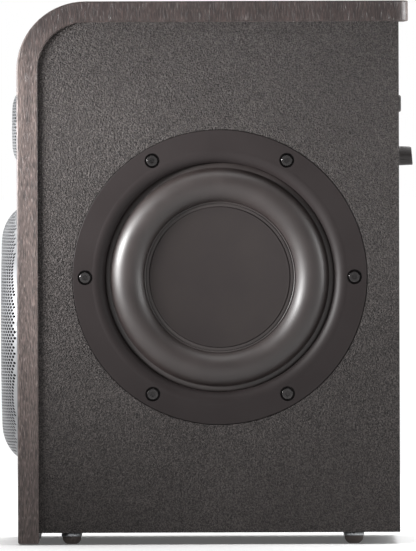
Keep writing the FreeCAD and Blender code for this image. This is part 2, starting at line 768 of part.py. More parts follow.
def tweeter_suspension():
    """Small cloth roll from the seam to a rim clamped behind the faceplate."""
    rim_low = -TWEETER_FACE_WALL - 0.45
    middle = (DOME_SEAM + ROLL_LAND) / 2
    return turned([
        (DOME_SEAM, DOME_FOOT - CLOTH),
        (DOME_SEAM, DOME_FOOT),
        (ROLL_LAND, -TWEETER_FACE_WALL, middle, -2.2),
        (SUSPENSION_RADIUS, -TWEETER_FACE_WALL),
        (SUSPENSION_RADIUS, rim_low),
        (ROLL_LAND + 0.2, rim_low),
        (DOME_SEAM + CLOTH, DOME_FOOT - CLOTH, middle, -2.65),
    ], TWEETER_CENTRE, FRONT)


def tweeter_motor():
    """Pot magnet with a ring gap for the coil."""
    front = -TWEETER_FACE_WALL - 2.2
    rear = front - TWEETER_MOTOR_LENGTH
    gap_floor = front - TWEETER_GAP_DEPTH
    return turned([
        (0, rear),
        (TWEETER_MOTOR_RADIUS - 1, rear),
        (TWEETER_MOTOR_RADIUS, rear + 1),
        (TWEETER_MOTOR_RADIUS, front),
        (DOME_SEAM, front),
        (DOME_SEAM, gap_floor),
        (POLE_RADIUS, gap_floor),
        (POLE_RADIUS, front - 1),
        (0, front - 1),
    ], TWEETER_CENTRE, FRONT)


def tweeter_rear_cup():
    """Cup screwed behind the faceplate, closed round the motor."""
    top = -TWEETER_FACE_WALL
    inner = CUP_RADIUS - CUP_WALL
    return turned([
        (SUSPENSION_RADIUS + 0.2, top - 0.95),
        (SUSPENSION_RADIUS + 0.2, top),
        (CUP_RADIUS, top),
        (CUP_RADIUS, CUP_REAR + CUP_WALL),
        (inner, CUP_REAR),
        (0, CUP_REAR),
        (0, CUP_REAR + 2),
        (inner - 0.7, CUP_REAR + 2),
        (inner, CUP_REAR + 2.7),
        (inner, top - 0.95),
    ], TWEETER_CENTRE, FRONT)


def tweeter_parts():
    coil_top = DOME_FOOT - CLOTH
    coil = ring(TWEETER_COIL_INNER, TWEETER_COIL_OUTER, TWEETER_COIL_BOTTOM, coil_top, TWEETER_CENTRE, FRONT)
    return {
        "tweeter_faceplate": tweeter_faceplate(),
        "tweeter_diaphragm": tweeter_diaphragm(),
        "tweeter_suspension": tweeter_suspension(),
        "tweeter_voice_coil": coil,
        "tweeter_motor": tweeter_motor(),
        "tweeter_rear_cup": tweeter_rear_cup(),
        "tweeter_grille": grille(TWEETER_GRILLE_RADIUS, TWEETER_GRILLE_RISE, TWEETER_GRILLE_SHOULDER,
                                 TWEETER_GRILLE_SKIRT, TWEETER_CENTRE),
    }


# ---------------------------------------------------------------- back: amplifier plate and controls
BUTTON_POINT = Vector(0, BACK_Y, BUTTON_HEIGHT)
BUTTON_COLLAR = 1.0
PLATE_HEAD_RADIUS = 2.9
PLATE_HEAD_HEIGHT = 1.7
POT_BUSHING = 3.5
POT_RADIUS = 8.5
POT_LENGTH = 8.0
SLOT_WIDTH = 11.0
SLOT_HEIGHT = 3.6
LEVER_WIDTH = 4.0
LEVER_RISE = 0.5           # lever tip beyond the plate
TRACK_MARGIN = 2.0         # room for the lever's carrier round the slot
SWITCH_BODY_DEPTH = 7.0
HIGH_PASS_TRAVEL = 6.0
SENSITIVITY_TRAVEL = 3.0
SWITCH_POINTS = {
    "high_pass_slider": Vector(-SWITCH_SPACING / 2, BACK_Y, SWITCH_HEIGHT),
    "sensitivity_slider": Vector(SWITCH_SPACING / 2, BACK_Y, SWITCH_HEIGHT),
}


def knob_points():
    names = ("low_shelf_knob", "low_mid_knob", "high_shelf_knob")
    return {name: Vector((i - 1) * KNOB_SPACING, BACK_Y, KNOB_HEIGHT) for i, name in enumerate(names)}


def centred_box(point, width, height, y0, y1):
    return box(point.x - width / 2, point.x + width / 2, y0, y1, point.z - height / 2, point.z + height / 2)


def amp_plate():
    """Plate with the bay's opening, the holes of the controls and sunk seats for its screws."""
    plate = rounded_plate(PLATE_HALF_WIDTH, PLATE_BOTTOM, PLATE_TOP, PLATE_BACK_Y, BACK_Y, PLATE_ROUND)
    inside, outside = PLATE_BACK_Y - THROUGH, BACK_Y + THROUGH
    reach = PLATE_WALL + 2 * THROUGH
    cutters = [rounded_plate(BAY_HALF_WIDTH, BAY_BOTTOM, BAY_TOP, inside, outside, BAY_ROUND)]
    cutters += [rod(p + BACK * THROUGH, FRONT, POT_BUSHING + 2 * FIT, reach) for p in knob_points().values()]
    cutters.append(rod(BUTTON_POINT + BACK * THROUGH, FRONT, BUTTON_RADIUS + GAP, reach))
    cutters += [centred_box(p, SLOT_WIDTH, SLOT_HEIGHT, inside, outside) for p in SWITCH_POINTS.values()]
    for point in plate_screw_points():
        start = point + BACK * THROUGH
        cutters.append(rod(start, FRONT, SCREW_CLEARANCE, reach))
        cutters.append(rod(start, FRONT, PLATE_HEAD_RADIUS + GAP, PLATE_SCREW_SINK + THROUGH))
    return cut_all(plate, cutters)


def amp_plate_screws():
    screws = []
    for point in plate_screw_points():
        seat = point + FRONT * PLATE_SCREW_SINK
        screws.append(cap_screw(seat, BACK, SCREW_RADIUS, PLATE_HEAD_RADIUS, PLATE_HEAD_HEIGHT, 8.5, 2.0))
    return Part.makeCompound(screws)


INLET_POINT = Vector(-20, BAY_FLOOR_Y, 54)
ROCKER_POINT = Vector(24, BAY_FLOOR_Y, 54)
XLR_POINT = Vector(-20, BAY_FLOOR_Y, 89)
RCA_POINT = Vector(24, BAY_FLOOR_Y, 89)
INLET_WIDTH = 28.0
INLET_HEIGHT = 21.0
INLET_FLANGE = 2.0
INLET_DEPTH = 20.0
INLET_CAVITY_WIDTH = 24.5
INLET_CAVITY_HEIGHT = 16.5
INLET_CAVITY_DEPTH = 16.0
INLET_CHAMFER = 4.0
BLADE_SPACING = 7.0
BLADE_WIDTH = 2.0
BLADE_HEIGHT = 4.0
BLADE_TIP = 5.0            # blade tips below the bay's floor
ROCKER_WIDTH = 13.0
ROCKER_HEIGHT = 19.0
ROCKER_FLANGE = 1.2
ROCKER_DEPTH = 14.0
ROCKER_PIVOT = ROCKER_POINT + FRONT
ROCKER_SWING = 7.0         # degrees either side of level
ROCKER_LENGTH = 14.6
PADDLE_WIDTH = 9.4
PADDLE_RISE = 3.2          # paddle's middle above its pivot
XLR_RADIUS = 11.8
XLR_WALL = 1.6
XLR_FLANGE = 14.0
XLR_DEPTH = 16.0
XLR_CORE = 7.4
XLR_CONTACTS = 3
XLR_CONTACT_CIRCLE = 4.0
RCA_RADIUS = 4.1
RCA_LENGTH = 8.0
RCA_DEPTH = 10.0
RCA_COLLAR = 6.0
RCA_BORE = 1.6


def connector_bay():
    """Recessed tub for the plugs, open to the back, with a flange behind the plate."""
    outer = rounded_plate(BAY_HALF_WIDTH + BAY_WALL, BAY_BOTTOM - BAY_WALL, BAY_TOP + BAY_WALL,
                          BAY_FLOOR_Y - BAY_WALL, PLATE_BACK_Y, BAY_ROUND + BAY_WALL)
    inner = rounded_plate(BAY_HALF_WIDTH, BAY_BOTTOM, BAY_TOP, BAY_FLOOR_Y, PLATE_BACK_Y + THROUGH, BAY_ROUND)
    below, above = BAY_FLOOR_Y - BAY_WALL - THROUGH, BAY_FLOOR_Y + THROUGH
    reach = BAY_WALL + 2 * THROUGH
    return cut_all(outer, [
        inner,
        centred_box(INLET_POINT, INLET_WIDTH + 2 * FIT, INLET_HEIGHT + 2 * FIT, below, above),
        centred_box(ROCKER_POINT, ROCKER_WIDTH + 2 * FIT, ROCKER_HEIGHT + 2 * FIT, below, above),
        rod(XLR_POINT + BACK * THROUGH, FRONT, XLR_RADIUS + FIT, reach),
        rod(RCA_POINT + BACK * THROUGH, FRONT, RCA_RADIUS + FIT, reach),
    ])


def mains_inlet():
    """Three-pin mains inlet: a flanged housing with an open cavity and three blades."""
    y = BAY_FLOOR_Y
    flange = centred_box(INLET_POINT, INLET_WIDTH + 2 * INLET_FLANGE, INLET_HEIGHT + 2 * INLET_FLANGE, y,
                         y + INLET_FLANGE)
    body = centred_box(INLET_POINT, INLET_WIDTH, INLET_HEIGHT, y - INLET_DEPTH, y)
    cavity = centred_box(INLET_POINT, INLET_CAVITY_WIDTH, INLET_CAVITY_HEIGHT, y - INLET_CAVITY_DEPTH,
                         y + INLET_FLANGE + THROUGH)
    upright = [e for e in cavity.Edges
               if abs(e.tangentAt(e.FirstParameter).y) > 0.99 and e.Vertexes[0].Z > INLET_POINT.z]
    cavity = cavity.makeChamfer(INLET_CHAMFER, upright)
    housing = flange.fuse(body).removeSplitter().cut(cavity)
    for x, z in ((-BLADE_SPACING, -1.5), (BLADE_SPACING, -1.5), (0, 2.5)):
        centre = INLET_POINT + Vector(x, 0, z)
        blade = centred_box(centre, BLADE_WIDTH, BLADE_HEIGHT, y - INLET_CAVITY_DEPTH - 1, y - BLADE_TIP)
        housing = housing.fuse(blade)
    return housing.removeSplitter()


def power_switch_body():
    y = BAY_FLOOR_Y
    margin = 2 * ROCKER_FLANGE
    flange = centred_box(ROCKER_POINT, ROCKER_WIDTH + margin, ROCKER_HEIGHT + margin, y, y + 1.6)
    body = centred_box(ROCKER_POINT, ROCKER_WIDTH, ROCKER_HEIGHT, y - ROCKER_DEPTH, y)
    well = centred_box(ROCKER_POINT, PADDLE_WIDTH + 0.6, ROCKER_LENGTH + 1, y - 10, y + 3)
    return flange.fuse(body).removeSplitter().cut(well)


def power_rocker():
    """Drum-shaped paddle on a cross pin, with two slanted faces; it rests tipped to one side."""
    radius = ROCKER_LENGTH / 2
    drum = rod(ROCKER_PIVOT - RIGHT * (PADDLE_WIDTH / 2), RIGHT, radius, PADDLE_WIDTH)
    y = ROCKER_PIVOT.y
    drum = drum.common(centred_box(ROCKER_POINT, PADDLE_WIDTH + 2, 2 * radius + 1, y - 3.5, y + 4.6))
    for low, high, sign in ((-radius - 4, 0, -1), (0, radius + 4, 1)):
        slab = box(-PADDLE_WIDTH, PADDLE_WIDTH, 0, 6, low, high)
        slab.rotate(Vector(0, 0, 0), RIGHT, -sign * ROCKER_SWING)
        slab.translate(ROCKER_PIVOT + BACK * PADDLE_RISE)
        drum = drum.cut(slab)
    drum.rotate(ROCKER_PIVOT, RIGHT, -ROCKER_SWING)
    return drum


def xlr_socket():
    """Balanced input: round insert with three contact holes in a flanged shell."""
    low = -XLR_DEPTH
    bore = XLR_RADIUS - XLR_WALL
    shell = turned([
        (bore, low),
        (XLR_RADIUS, low),
        (XLR_RADIUS, 0),
        (XLR_FLANGE, 0),
        (XLR_FLANGE, 1.2),
        (XLR_FLANGE - 0.6, 1.8),
        (bore, 1.8),
    ], XLR_POINT, BACK)
    insert = turned([
        (0, low),
        (XLR_CORE, low),
        (XLR_CORE, 0.4),
        (XLR_CORE - BREAK, 0.8),
        (0, 0.8),
    ], XLR_POINT, BACK)
    web = ring(XLR_CORE, bore, low, low + 3, XLR_POINT, BACK)
    for point in on_circle(XLR_CONTACTS, XLR_CONTACT_CIRCLE, XLR_POINT, BACK, 90):
        insert = insert.cut(rod(point + BACK, FRONT, 1.3, 12))
    return shell.fuse(web).fuse(insert).removeSplitter()


def rca_socket():
    """Unbalanced input: metal barrel with a collar and a centre hole."""
    return turned([
        (RCA_BORE, -RCA_LENGTH),
        (RCA_BORE, RCA_LENGTH - BREAK),
        (RCA_BORE + 1.4, RCA_LENGTH - BREAK),
        (RCA_BORE + 1.4, RCA_LENGTH),
        (RCA_RADIUS, RCA_LENGTH),
        (RCA_RADIUS, 3.0),
        (RCA_COLLAR, 3.0),
        (RCA_COLLAR, 0.0),
        (RCA_RADIUS, 0.0),
        (RCA_RADIUS, -RCA_DEPTH),
        (0, -RCA_DEPTH),
        (0, -RCA_LENGTH),
    ], RCA_POINT, BACK)


KNOB_FOOT = 0.4            # knob's underside above the plate
KNOB_SLANT = 5.0           # degrees that the knob's face is tilted by
KNOB_FLUTES = 18
KNOB_SOCKET = 4.6


def knob(point):
    """Tone control: fluted cap with a slanted face, on its steel shaft."""
    cap = turned([
        (0, KNOB_FOOT),
        (KNOB_RADIUS + 0.1, KNOB_FOOT),
        (KNOB_RADIUS - 0.15, KNOB_RISE - 0.3),
        (KNOB_RADIUS - 0.45, KNOB_RISE),
        (0, KNOB_RISE),
    ], point, BACK)
    slant = box(-8, 8, 0, 4, -12, 12)
    slant.rotate(Vector(0, 0, 0), RIGHT, KNOB_SLANT)
    slant.translate(point + BACK * (KNOB_RISE - KNOB_RADIUS * math.tan(math.radians(KNOB_SLANT))))
    cap = cap.cut(slant)
    bore = rod(point, BACK, STUD_RADIUS, KNOB_SOCKET)
    reach = PLATE_WALL + 5
    shaft = rod(point + FRONT * reach, BACK, STUD_RADIUS, reach + KNOB_SOCKET)
    for flute in on_circle(KNOB_FLUTES, KNOB_RADIUS + 0.25, point, BACK):
        cap = cap.cut(rod(flute + BACK * 1.4, BACK, 0.42, KNOB_RISE))
    return Part.makeCompound([cap.cut(bore), shaft])


def potentiometers():
    """The three pots behind the plate, each with a bushing through it."""
    low = -PLATE_WALL - POT_LENGTH
    bore = STUD_RADIUS + FIT
    bodies = [turned([
        (bore, 0),
        (POT_BUSHING, 0),
        (POT_BUSHING, -PLATE_WALL),
        (POT_RADIUS, -PLATE_WALL),
        (POT_RADIUS, low),
        (bore, low),
    ], point, BACK) for point in knob_points().values()]
    return Part.makeCompound(bodies)


def slider(point, travel):
    """Slide switch lever, resting at the left end of its travel as seen in plan."""
    at = point - RIGHT * (travel / 2)
    tip = BACK_Y + LEVER_RISE
    lever = centred_box(at, LEVER_WIDTH, SLOT_HEIGHT - BREAK, PLATE_BACK_Y - 2, tip)
    ridges = [centred_box(at + RIGHT * i, 0.5, SLOT_HEIGHT, tip - 0.6, tip + THROUGH) for i in (-1, 0, 1)]
    carrier = centred_box(at, LEVER_WIDTH + 1.4, SLOT_HEIGHT + TRACK_MARGIN, PLATE_BACK_Y - 2.6,
                          PLATE_BACK_Y - 1)
    return cut_all(lever.fuse(carrier).removeSplitter(), ridges)


def slide_switch_bodies():
    """Housings behind the plate that the two levers run in."""
    bodies = []
    for point in SWITCH_POINTS.values():
        body = centred_box(point, SLOT_WIDTH + 8, 10, PLATE_BACK_Y - SWITCH_BODY_DEPTH, PLATE_BACK_Y)
        track = centred_box(point, SLOT_WIDTH + 4, SLOT_HEIGHT + TRACK_MARGIN + 0.6, PLATE_BACK_Y - 3.2,
                            PLATE_BACK_Y + THROUGH)
        bodies.append(body.cut(track))
    return Part.makeCompound(bodies)


def standby_button():
    """Round push button with a domed cap, a collar behind the plate and a stem."""
    radius = BUTTON_RADIUS
    collar_top = -PLATE_WALL - 0.2
    collar_low = collar_top - 1.2
    stem_low = -PLATE_WALL - 6
    return turned([
        (0, BUTTON_RISE),
        (radius - 1.1, BUTTON_RISE - 0.1),
        (radius, BUTTON_RISE - 1.2, radius - 0.25, BUTTON_RISE - 0.4),
        (radius, collar_top),
        (radius + BUTTON_COLLAR, collar_top),
        (radius + BUTTON_COLLAR, collar_low),
        (2, collar_low),
        (2, stem_low),
        (0, stem_low),
    ], BUTTON_POINT, BACK)


SINK_HALF_WIDTH = 40.0
SINK_BOTTOM = 116.0
SINK_TOP = 150.0
SINK_DEPTH = 24.0
SINK_BASE = 6.0
SINK_SLOTS = 11
SINK_SLOT_WIDTH = 4.4


def heat_sink():
    """Finned block bolted to the inside of the plate."""
    middle = Vector(0, 0, (SINK_BOTTOM + SINK_TOP) / 2)
    height = SINK_TOP - SINK_BOTTOM
    fin_tips = PLATE_BACK_Y - SINK_DEPTH
    block = centred_box(middle, 2 * SINK_HALF_WIDTH, height, fin_tips, PLATE_BACK_Y)
    pitch = 2 * SINK_HALF_WIDTH / SINK_SLOTS
    slots = []
    for i in range(SINK_SLOTS):
        at = middle + RIGHT * (pitch * (i + 0.5) - SINK_HALF_WIDTH)
        slots.append(centred_box(at, SINK_SLOT_WIDTH, height + 2, fin_tips - THROUGH, PLATE_BACK_Y - SINK_BASE))
    return cut_all(block, slots)


BOARD_WALL = 1.6
BOARD_FRONT_Y = PLATE_BACK_Y - SINK_DEPTH - BOARD_WALL
BOARD_HALF_WIDTH = 44.0
BOARD_BOTTOM = 112.0
BOARD_TOP = 186.0


def amp_board():
    """Amplifier board with its large capacitors and its output chip."""
    board = box(-BOARD_HALF_WIDTH, BOARD_HALF_WIDTH, BOARD_FRONT_Y, BOARD_FRONT_Y + BOARD_WALL, BOARD_BOTTOM,
                BOARD_TOP)
    large = [(Vector(-30, BOARD_FRONT_Y, z), 7, 16) for z in (152, 170)]
    small = [(Vector(30, BOARD_FRONT_Y, z), 4, 10) for z in (118, 130)]
    for point, radius, tall in large + small:
        board = board.fuse(rod(point, FRONT, radius, tall))
    chip = box(-12, 6, BOARD_FRONT_Y - 12, BOARD_FRONT_Y, 120, 136)
    return board.fuse(chip).removeSplitter()


TRANSFORMER_DEPTH = 122.0
TRANSFORMER_RADIUS = 26.0
TRANSFORMER_HEIGHT = 24.0
TRANSFORMER_ROUND = 3.0
TRANSFORMER_DISH = 9.0     # radius of the hollow in its top


def power_transformer():
    """Ring-core transformer standing on the cabinet's floor, its middle filled up to a hollow."""
    outer, top, edge = TRANSFORMER_RADIUS, TRANSFORMER_HEIGHT, TRANSFORMER_ROUND
    near = edge * ARC_SHARE
    return turned([
        (0, 0),
        (outer - edge, 0),
        (outer, edge, outer - near, near),
        (outer, top - edge),
        (outer - edge, top, outer - near, top - near),
        (TRANSFORMER_DISH + edge, top),
        (TRANSFORMER_DISH, top - edge, TRANSFORMER_DISH + near, top - near),
        (TRANSFORMER_DISH, top - 2 * edge),
        (0, top - 2 * edge),
    ], Vector(0, depth(TRANSFORMER_DEPTH), FLOOR_TOP), UP)


WOOFER_LEAD_RADIUS = 2.0
TWEETER_LEAD_RADIUS = 1.6


def leads():
    """Cables from the amplifier board to the two drivers."""
    def at(x, distance, z):
        return Vector(x, depth(distance), z)

    board = BOARD_FRONT_Y - FRONT_Y
    lug_rear = BASKET_FLOOR_WALL - BASKET_REAR
    lug_height = WOOFER_HEIGHT + LUG_REACH - 2.5
    woofer = [at(0, lug_rear, lug_height), at(0, 60, lug_height), at(9, 90, 158), at(6, 118, 160),
              at(0, 142, 152), at(0, board, 152)]
    tweeter = [at(0, -CUP_REAR, TWEETER_HEIGHT), at(0, 45, TWEETER_HEIGHT), at(3, 66, 191), at(1, 92, 182),
               at(0, 118, 181), at(0, 142, 172), at(0, board, 172)]
    return {
        "woofer_lead": lead(woofer, WOOFER_LEAD_RADIUS),
        "tweeter_lead": lead(tweeter, TWEETER_LEAD_RADIUS),
    }


FOOT_DISC_RADIUS = 5.1
FOOT_DISC_LOW = 3.7
PAD_RADIUS = 4.7
PAD_SOLE = 2.2             # radius of the flat under the pad
STUD_LENGTH = 11.5


def foot(point):
    """Height-adjustable foot: threaded stud with a steel disc, and a domed rubber pad."""
    disc_high = FOOT_HEIGHT - 0.3
    rim = FOOT_DISC_RADIUS - 0.2
    stud = turned([
        (0, FOOT_DISC_LOW),
        (rim, FOOT_DISC_LOW),
        (FOOT_DISC_RADIUS, FOOT_DISC_LOW + 0.3),
        (FOOT_DISC_RADIUS, disc_high - 0.2),
        (rim, disc_high),
        (STUD_RADIUS, disc_high),
        (STUD_RADIUS, FOOT_HEIGHT + STUD_LENGTH),
        (0, FOOT_HEIGHT + STUD_LENGTH),
    ], point, UP)
    pad = turned([
        (0, 0),
        (PAD_SOLE, 0),
        (PAD_RADIUS, FOOT_DISC_LOW - 0.3, 3.9, 1.15),
        (PAD_RADIUS, FOOT_DISC_LOW),
        (0, FOOT_DISC_LOW),
    ], point, UP)
    return Part.makeCompound([stud, pad])


# ---------------------------------------------------------------- everything
def all_parts():
    parts = {
        "front_top_shell": front_top_shell(),
        "right_side_panel": side_panel(1),
        "left_side_panel": side_panel(-1),
        "bottom_panel": bottom_panel(),
        "back_panel": back_panel(),
        "cabinet_brace": cabinet_brace(),
        "threaded_inserts": threaded_inserts(),
        "amp_plate": amp_plate(),
        "amp_plate_screws": amp_plate_screws(),
        "connector_bay": connector_bay(),
        "mains_inlet": mains_inlet(),
        "power_switch_body": power_switch_body(),
        "power_rocker": power_rocker(),
        "xlr_socket": xlr_socket(),
        "rca_socket": rca_socket(),
        "potentiometers": potentiometers(),
        "slide_switch_bodies": slide_switch_bodies(),
        "high_pass_slider": slider(SWITCH_POINTS["high_pass_slider"], HIGH_PASS_TRAVEL),
        "sensitivity_slider": slider(SWITCH_POINTS["sensitivity_slider"], SENSITIVITY_TRAVEL),
        "standby_button": standby_button(),
        "heat_sink": heat_sink(),
        "amp_board": amp_board(),
        "power_transformer": power_transformer(),
    }
    parts.update(radiator_parts("right", 1))
    parts.update(radiator_parts("left", -1))
    parts.update(woofer_parts())
    parts.update(tweeter_parts())
    parts.update(leads())
    parts.update({name: knob(point) for name, point in knob_points().items()})
    parts.update({name: foot(point) for name, point in foot_points().items()})
    return parts


def main():
    os.makedirs("parts", exist_ok=True)
    parts = all_parts()
    for name, shape in parts.items():
        shape.exportStep(f"parts/{name}.step")
    print(f"{len(parts)} nodes written")


main()
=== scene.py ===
import json
import math

import bmesh
import bpy
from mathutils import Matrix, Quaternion, Vector
from mathutils.geometry import delaunay_2d_cdt

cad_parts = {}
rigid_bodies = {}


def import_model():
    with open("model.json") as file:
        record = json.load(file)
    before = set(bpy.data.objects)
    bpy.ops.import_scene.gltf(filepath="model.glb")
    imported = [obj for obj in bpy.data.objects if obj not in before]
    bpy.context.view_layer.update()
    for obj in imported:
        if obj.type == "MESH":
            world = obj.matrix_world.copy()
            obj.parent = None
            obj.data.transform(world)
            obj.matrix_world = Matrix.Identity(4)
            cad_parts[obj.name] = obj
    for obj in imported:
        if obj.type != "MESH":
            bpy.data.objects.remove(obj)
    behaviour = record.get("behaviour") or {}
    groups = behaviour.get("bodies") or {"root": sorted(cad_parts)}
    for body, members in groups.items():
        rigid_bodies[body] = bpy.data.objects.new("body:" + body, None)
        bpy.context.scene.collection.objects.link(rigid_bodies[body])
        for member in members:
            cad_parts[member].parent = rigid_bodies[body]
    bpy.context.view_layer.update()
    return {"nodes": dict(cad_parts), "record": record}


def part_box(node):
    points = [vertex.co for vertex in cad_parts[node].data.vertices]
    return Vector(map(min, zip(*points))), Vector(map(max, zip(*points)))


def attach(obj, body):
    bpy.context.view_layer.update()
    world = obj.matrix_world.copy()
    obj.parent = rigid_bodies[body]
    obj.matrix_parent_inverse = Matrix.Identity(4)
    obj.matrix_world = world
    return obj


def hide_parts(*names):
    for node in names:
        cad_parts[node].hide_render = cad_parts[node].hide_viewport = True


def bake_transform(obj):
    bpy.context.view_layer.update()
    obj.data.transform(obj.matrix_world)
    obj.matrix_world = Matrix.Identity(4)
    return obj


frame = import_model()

MM = 0.001
CABINET = "cabinet"


# ------------------------------------------------------------------ places, read from the frame
def middle(node):
    low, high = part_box(node)
    return (low + high) / 2


def near_face(node):
    """Y of a node's face that is nearest the front."""
    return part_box(node)[0].y


def far_face(node):
    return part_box(node)[1].y


FRONT_Y = near_face("front_top_shell")
TOP_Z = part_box("front_top_shell")[1].z
SHELL_RADIUS = 34.4 * MM
PANEL_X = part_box("right_side_panel")[1].x
BACK_Y = far_face("back_panel")
BAY_FLOOR_Y = far_face("mains_inlet") - 2 * MM
WOOFER = Vector((0, FRONT_Y, middle("woofer_grille").z))
TWEETER = Vector((0, FRONT_Y, middle("tweeter_grille").z))
RADIATOR_Y = middle("right_radiator_disc").y
RADIATOR_Z = middle("right_radiator_disc").z
FRONT = Vector((0, -1, 0))
BACK = Vector((0, 1, 0))
RIGHT = Vector((1, 0, 0))  # the side that the camera sees
UP = Vector((0, 0, 1))
SLOTS = {part["node"]: part["material_slot"] for part in frame["record"]["subparts"]}


# ------------------------------------------------------------------ shader nodes
NOISE_SPAN = (0.3, 0.7)                   # most of a noise's values lie between these
VECTOR_A, VECTOR_B, VECTOR_OUT = 4, 5, 1  # a Mix node's own sockets for vectors, by number
COLOUR_A, COLOUR_B, COLOUR_OUT = 6, 7, 2  # and for colours


def srgb(red, green, blue):
    """Linear colour of an 8-bit screen colour."""
    def linear(value):
        value /= 255
        return value / 12.92 if value <= 0.04045 else ((value + 0.055) / 1.055) ** 2.4

    return (linear(red), linear(green), linear(blue), 1.0)


class Finish:
    """One procedural material: a Principled shader and the nodes that feed it."""

    def __init__(self, name, **sockets):
        self.material = bpy.data.materials.new(name)
        self.material.use_nodes = True
        self.tree = self.material.node_tree
        self.shader = self.tree.nodes["Principled BSDF"]
        for socket, value in sockets.items():
            self.shader.inputs[socket.replace("_", " ")].default_value = value
        self.objects = self.add("ShaderNodeTexCoord").outputs["Object"]

    def add(self, kind, inputs=None, **settings):
        node = self.tree.nodes.new(kind)
        for name, value in settings.items():
            setattr(node, name, value)
        for key, value in (inputs or {}).items():
            self.feed(node.inputs[key], value)
        return node

    def feed(self, socket, value):
        if isinstance(value, bpy.types.NodeSocket):
            self.tree.links.new(value, socket)
        else:
            socket.default_value = value

    def stretched(self, vector, scale):
        return self.add("ShaderNodeMapping", {"Vector": vector, "Scale": scale}).outputs["Vector"]

    def noise(self, vector, scale, detail=3.0, roughness=0.5, distortion=0.0):
        node = self.add("ShaderNodeTexNoise", {"Vector": vector, "Scale": scale, "Detail": detail,
                                               "Roughness": roughness, "Distortion": distortion})
        return node.outputs["Fac"]

    def cells(self, vector, scale, feature="F1"):
        node = self.add("ShaderNodeTexVoronoi", {"Vector": vector, "Scale": scale}, feature=feature)
        return node.outputs["Distance"]

    def ramp(self, value, *stops):
        node = self.add("ShaderNodeValToRGB", {"Fac": value})
        ramp = node.color_ramp
        while len(ramp.elements) < len(stops):
            ramp.elements.new(0.5)
        for element, (position, colour) in zip(ramp.elements, stops):
            element.position = position
            element.color = colour if len(colour) == 4 else (*colour, 1.0)
        return node.outputs["Color"]

    def levels(self, value, low, high, dark=0.0, light=1.0):
        node = self.add("ShaderNodeMapRange", {"Value": value, "From Min": low, "From Max": high,
                                               "To Min": dark, "To Max": light})
        return node.outputs["Result"]

    def tint(self, noise, dark, light):
        """A colour that drifts between two, following a noise."""
        return self.ramp(self.levels(noise, *NOISE_SPAN), (0.0, dark), (1.0, light))

    def math(self, operation, first, second=0.0):
        return self.add("ShaderNodeMath", {0: first, 1: second}, operation=operation).outputs[0]

    def mix(self, factor, first, second, blend="MIX"):
        inputs = {"Factor": factor, COLOUR_A: first, COLOUR_B: second}
        return self.add("ShaderNodeMix", inputs, data_type="RGBA", blend_type=blend).outputs[COLOUR_OUT]

    def choose(self, factor, first, second):
        """The first vector where factor is 0 and the second where it is 1."""
        inputs = {"Factor": factor, VECTOR_A: first, VECTOR_B: second}
        return self.add("ShaderNodeMix", inputs, data_type="VECTOR").outputs[VECTOR_OUT]

    def split(self, vector):
        return self.add("ShaderNodeSeparateXYZ", {"Vector": vector}).outputs

    def join(self, x, y, z):
        return self.add("ShaderNodeCombineXYZ", {"X": x, "Y": y, "Z": z}).outputs[0]

    def colour(self, value):
        self.feed(self.shader.inputs["Base Color"], value)

    def roughness(self, value):
        self.feed(self.shader.inputs["Roughness"], value)

    def bump(self, *layers):
        """Each layer is (height, distance in metres)."""
        normal = None
        for height, distance in layers:
            node = self.add("ShaderNodeBump", {"Height": height, "Distance": distance, "Strength": 1.0})
            if normal is not None:
                self.feed(node.inputs["Normal"], normal)
            normal = node.outputs["Normal"]
        self.feed(self.shader.inputs["Normal"], normal)


# ------------------------------------------------------------------ materials
EDGE_SHADE_OVER_THE_TOP = (0.38, 0.33, 0.335)   # painted shade: how much darker the board's cut edge is made where it runs over the top
FACING = 0.6                              # a face whose normal has more than this along an axis faces it
GRAIN_WANDER = 6 * MM
SKIN_SLICE = 0.31                         # any one depth, so that the skin's grain is a single sheet
EDGE_STREAKS = 0.35                       # how strongly the cut edge shows the streaks
TOP_SHADE_ENDS = 0.25                          # how far under the top the painted shade is complete, in bend radii
FIBRE_SHADES = ((0.0, (0.22, 0.21, 0.21)), (0.5, (0.90, 0.90, 0.90)), (1.0, (1.95, 1.92, 1.90)))


def veneer_grain(f, x, y, z):
    """Place in the veneer: across the grain, through it and along it.

    On the skin the grain follows the bend, on the cut edges it stands upright, and on the strip over the
    board's rear end it lies level.
    """
    bend_y = FRONT_Y + SHELL_RADIUS
    bend_z = TOP_Z - SHELL_RADIUS
    below = f.math("MINIMUM", z, bend_z)
    behind = f.math("MAXIMUM", f.math("SUBTRACT", y, bend_y), 0.0)
    rise = f.math("MAXIMUM", f.math("SUBTRACT", z, bend_z), 0.0)
    reach = f.math("MAXIMUM", f.math("SUBTRACT", bend_y, y), 0.0)
    turn = f.math("MULTIPLY", f.math("ARCTAN2", rise, reach), SHELL_RADIUS)
    along = f.math("ADD", f.math("ADD", below, behind), turn)
    skin = f.join(x, SKIN_SLICE, along)
    facing_x, facing_y, _ = f.split(f.add("ShaderNodeTexCoord").outputs["Normal"])
    sideways = f.math("GREATER_THAN", f.math("ABSOLUTE", facing_x), FACING)
    rearward = f.math("GREATER_THAN", facing_y, FACING)
    grain = f.choose(rearward, f.choose(sideways, skin, f.join(y, x, z)), f.join(z, y, x))

    drift = f.noise(f.stretched(grain, (60, 60, 9)), 1.0, 2.0)
    wander = f.math("MULTIPLY", f.math("SUBTRACT", drift, 0.5), GRAIN_WANDER)
    across, through, lengthwise = f.split(grain)
    return f.join(f.math("ADD", across, wander), through, lengthwise), sideways


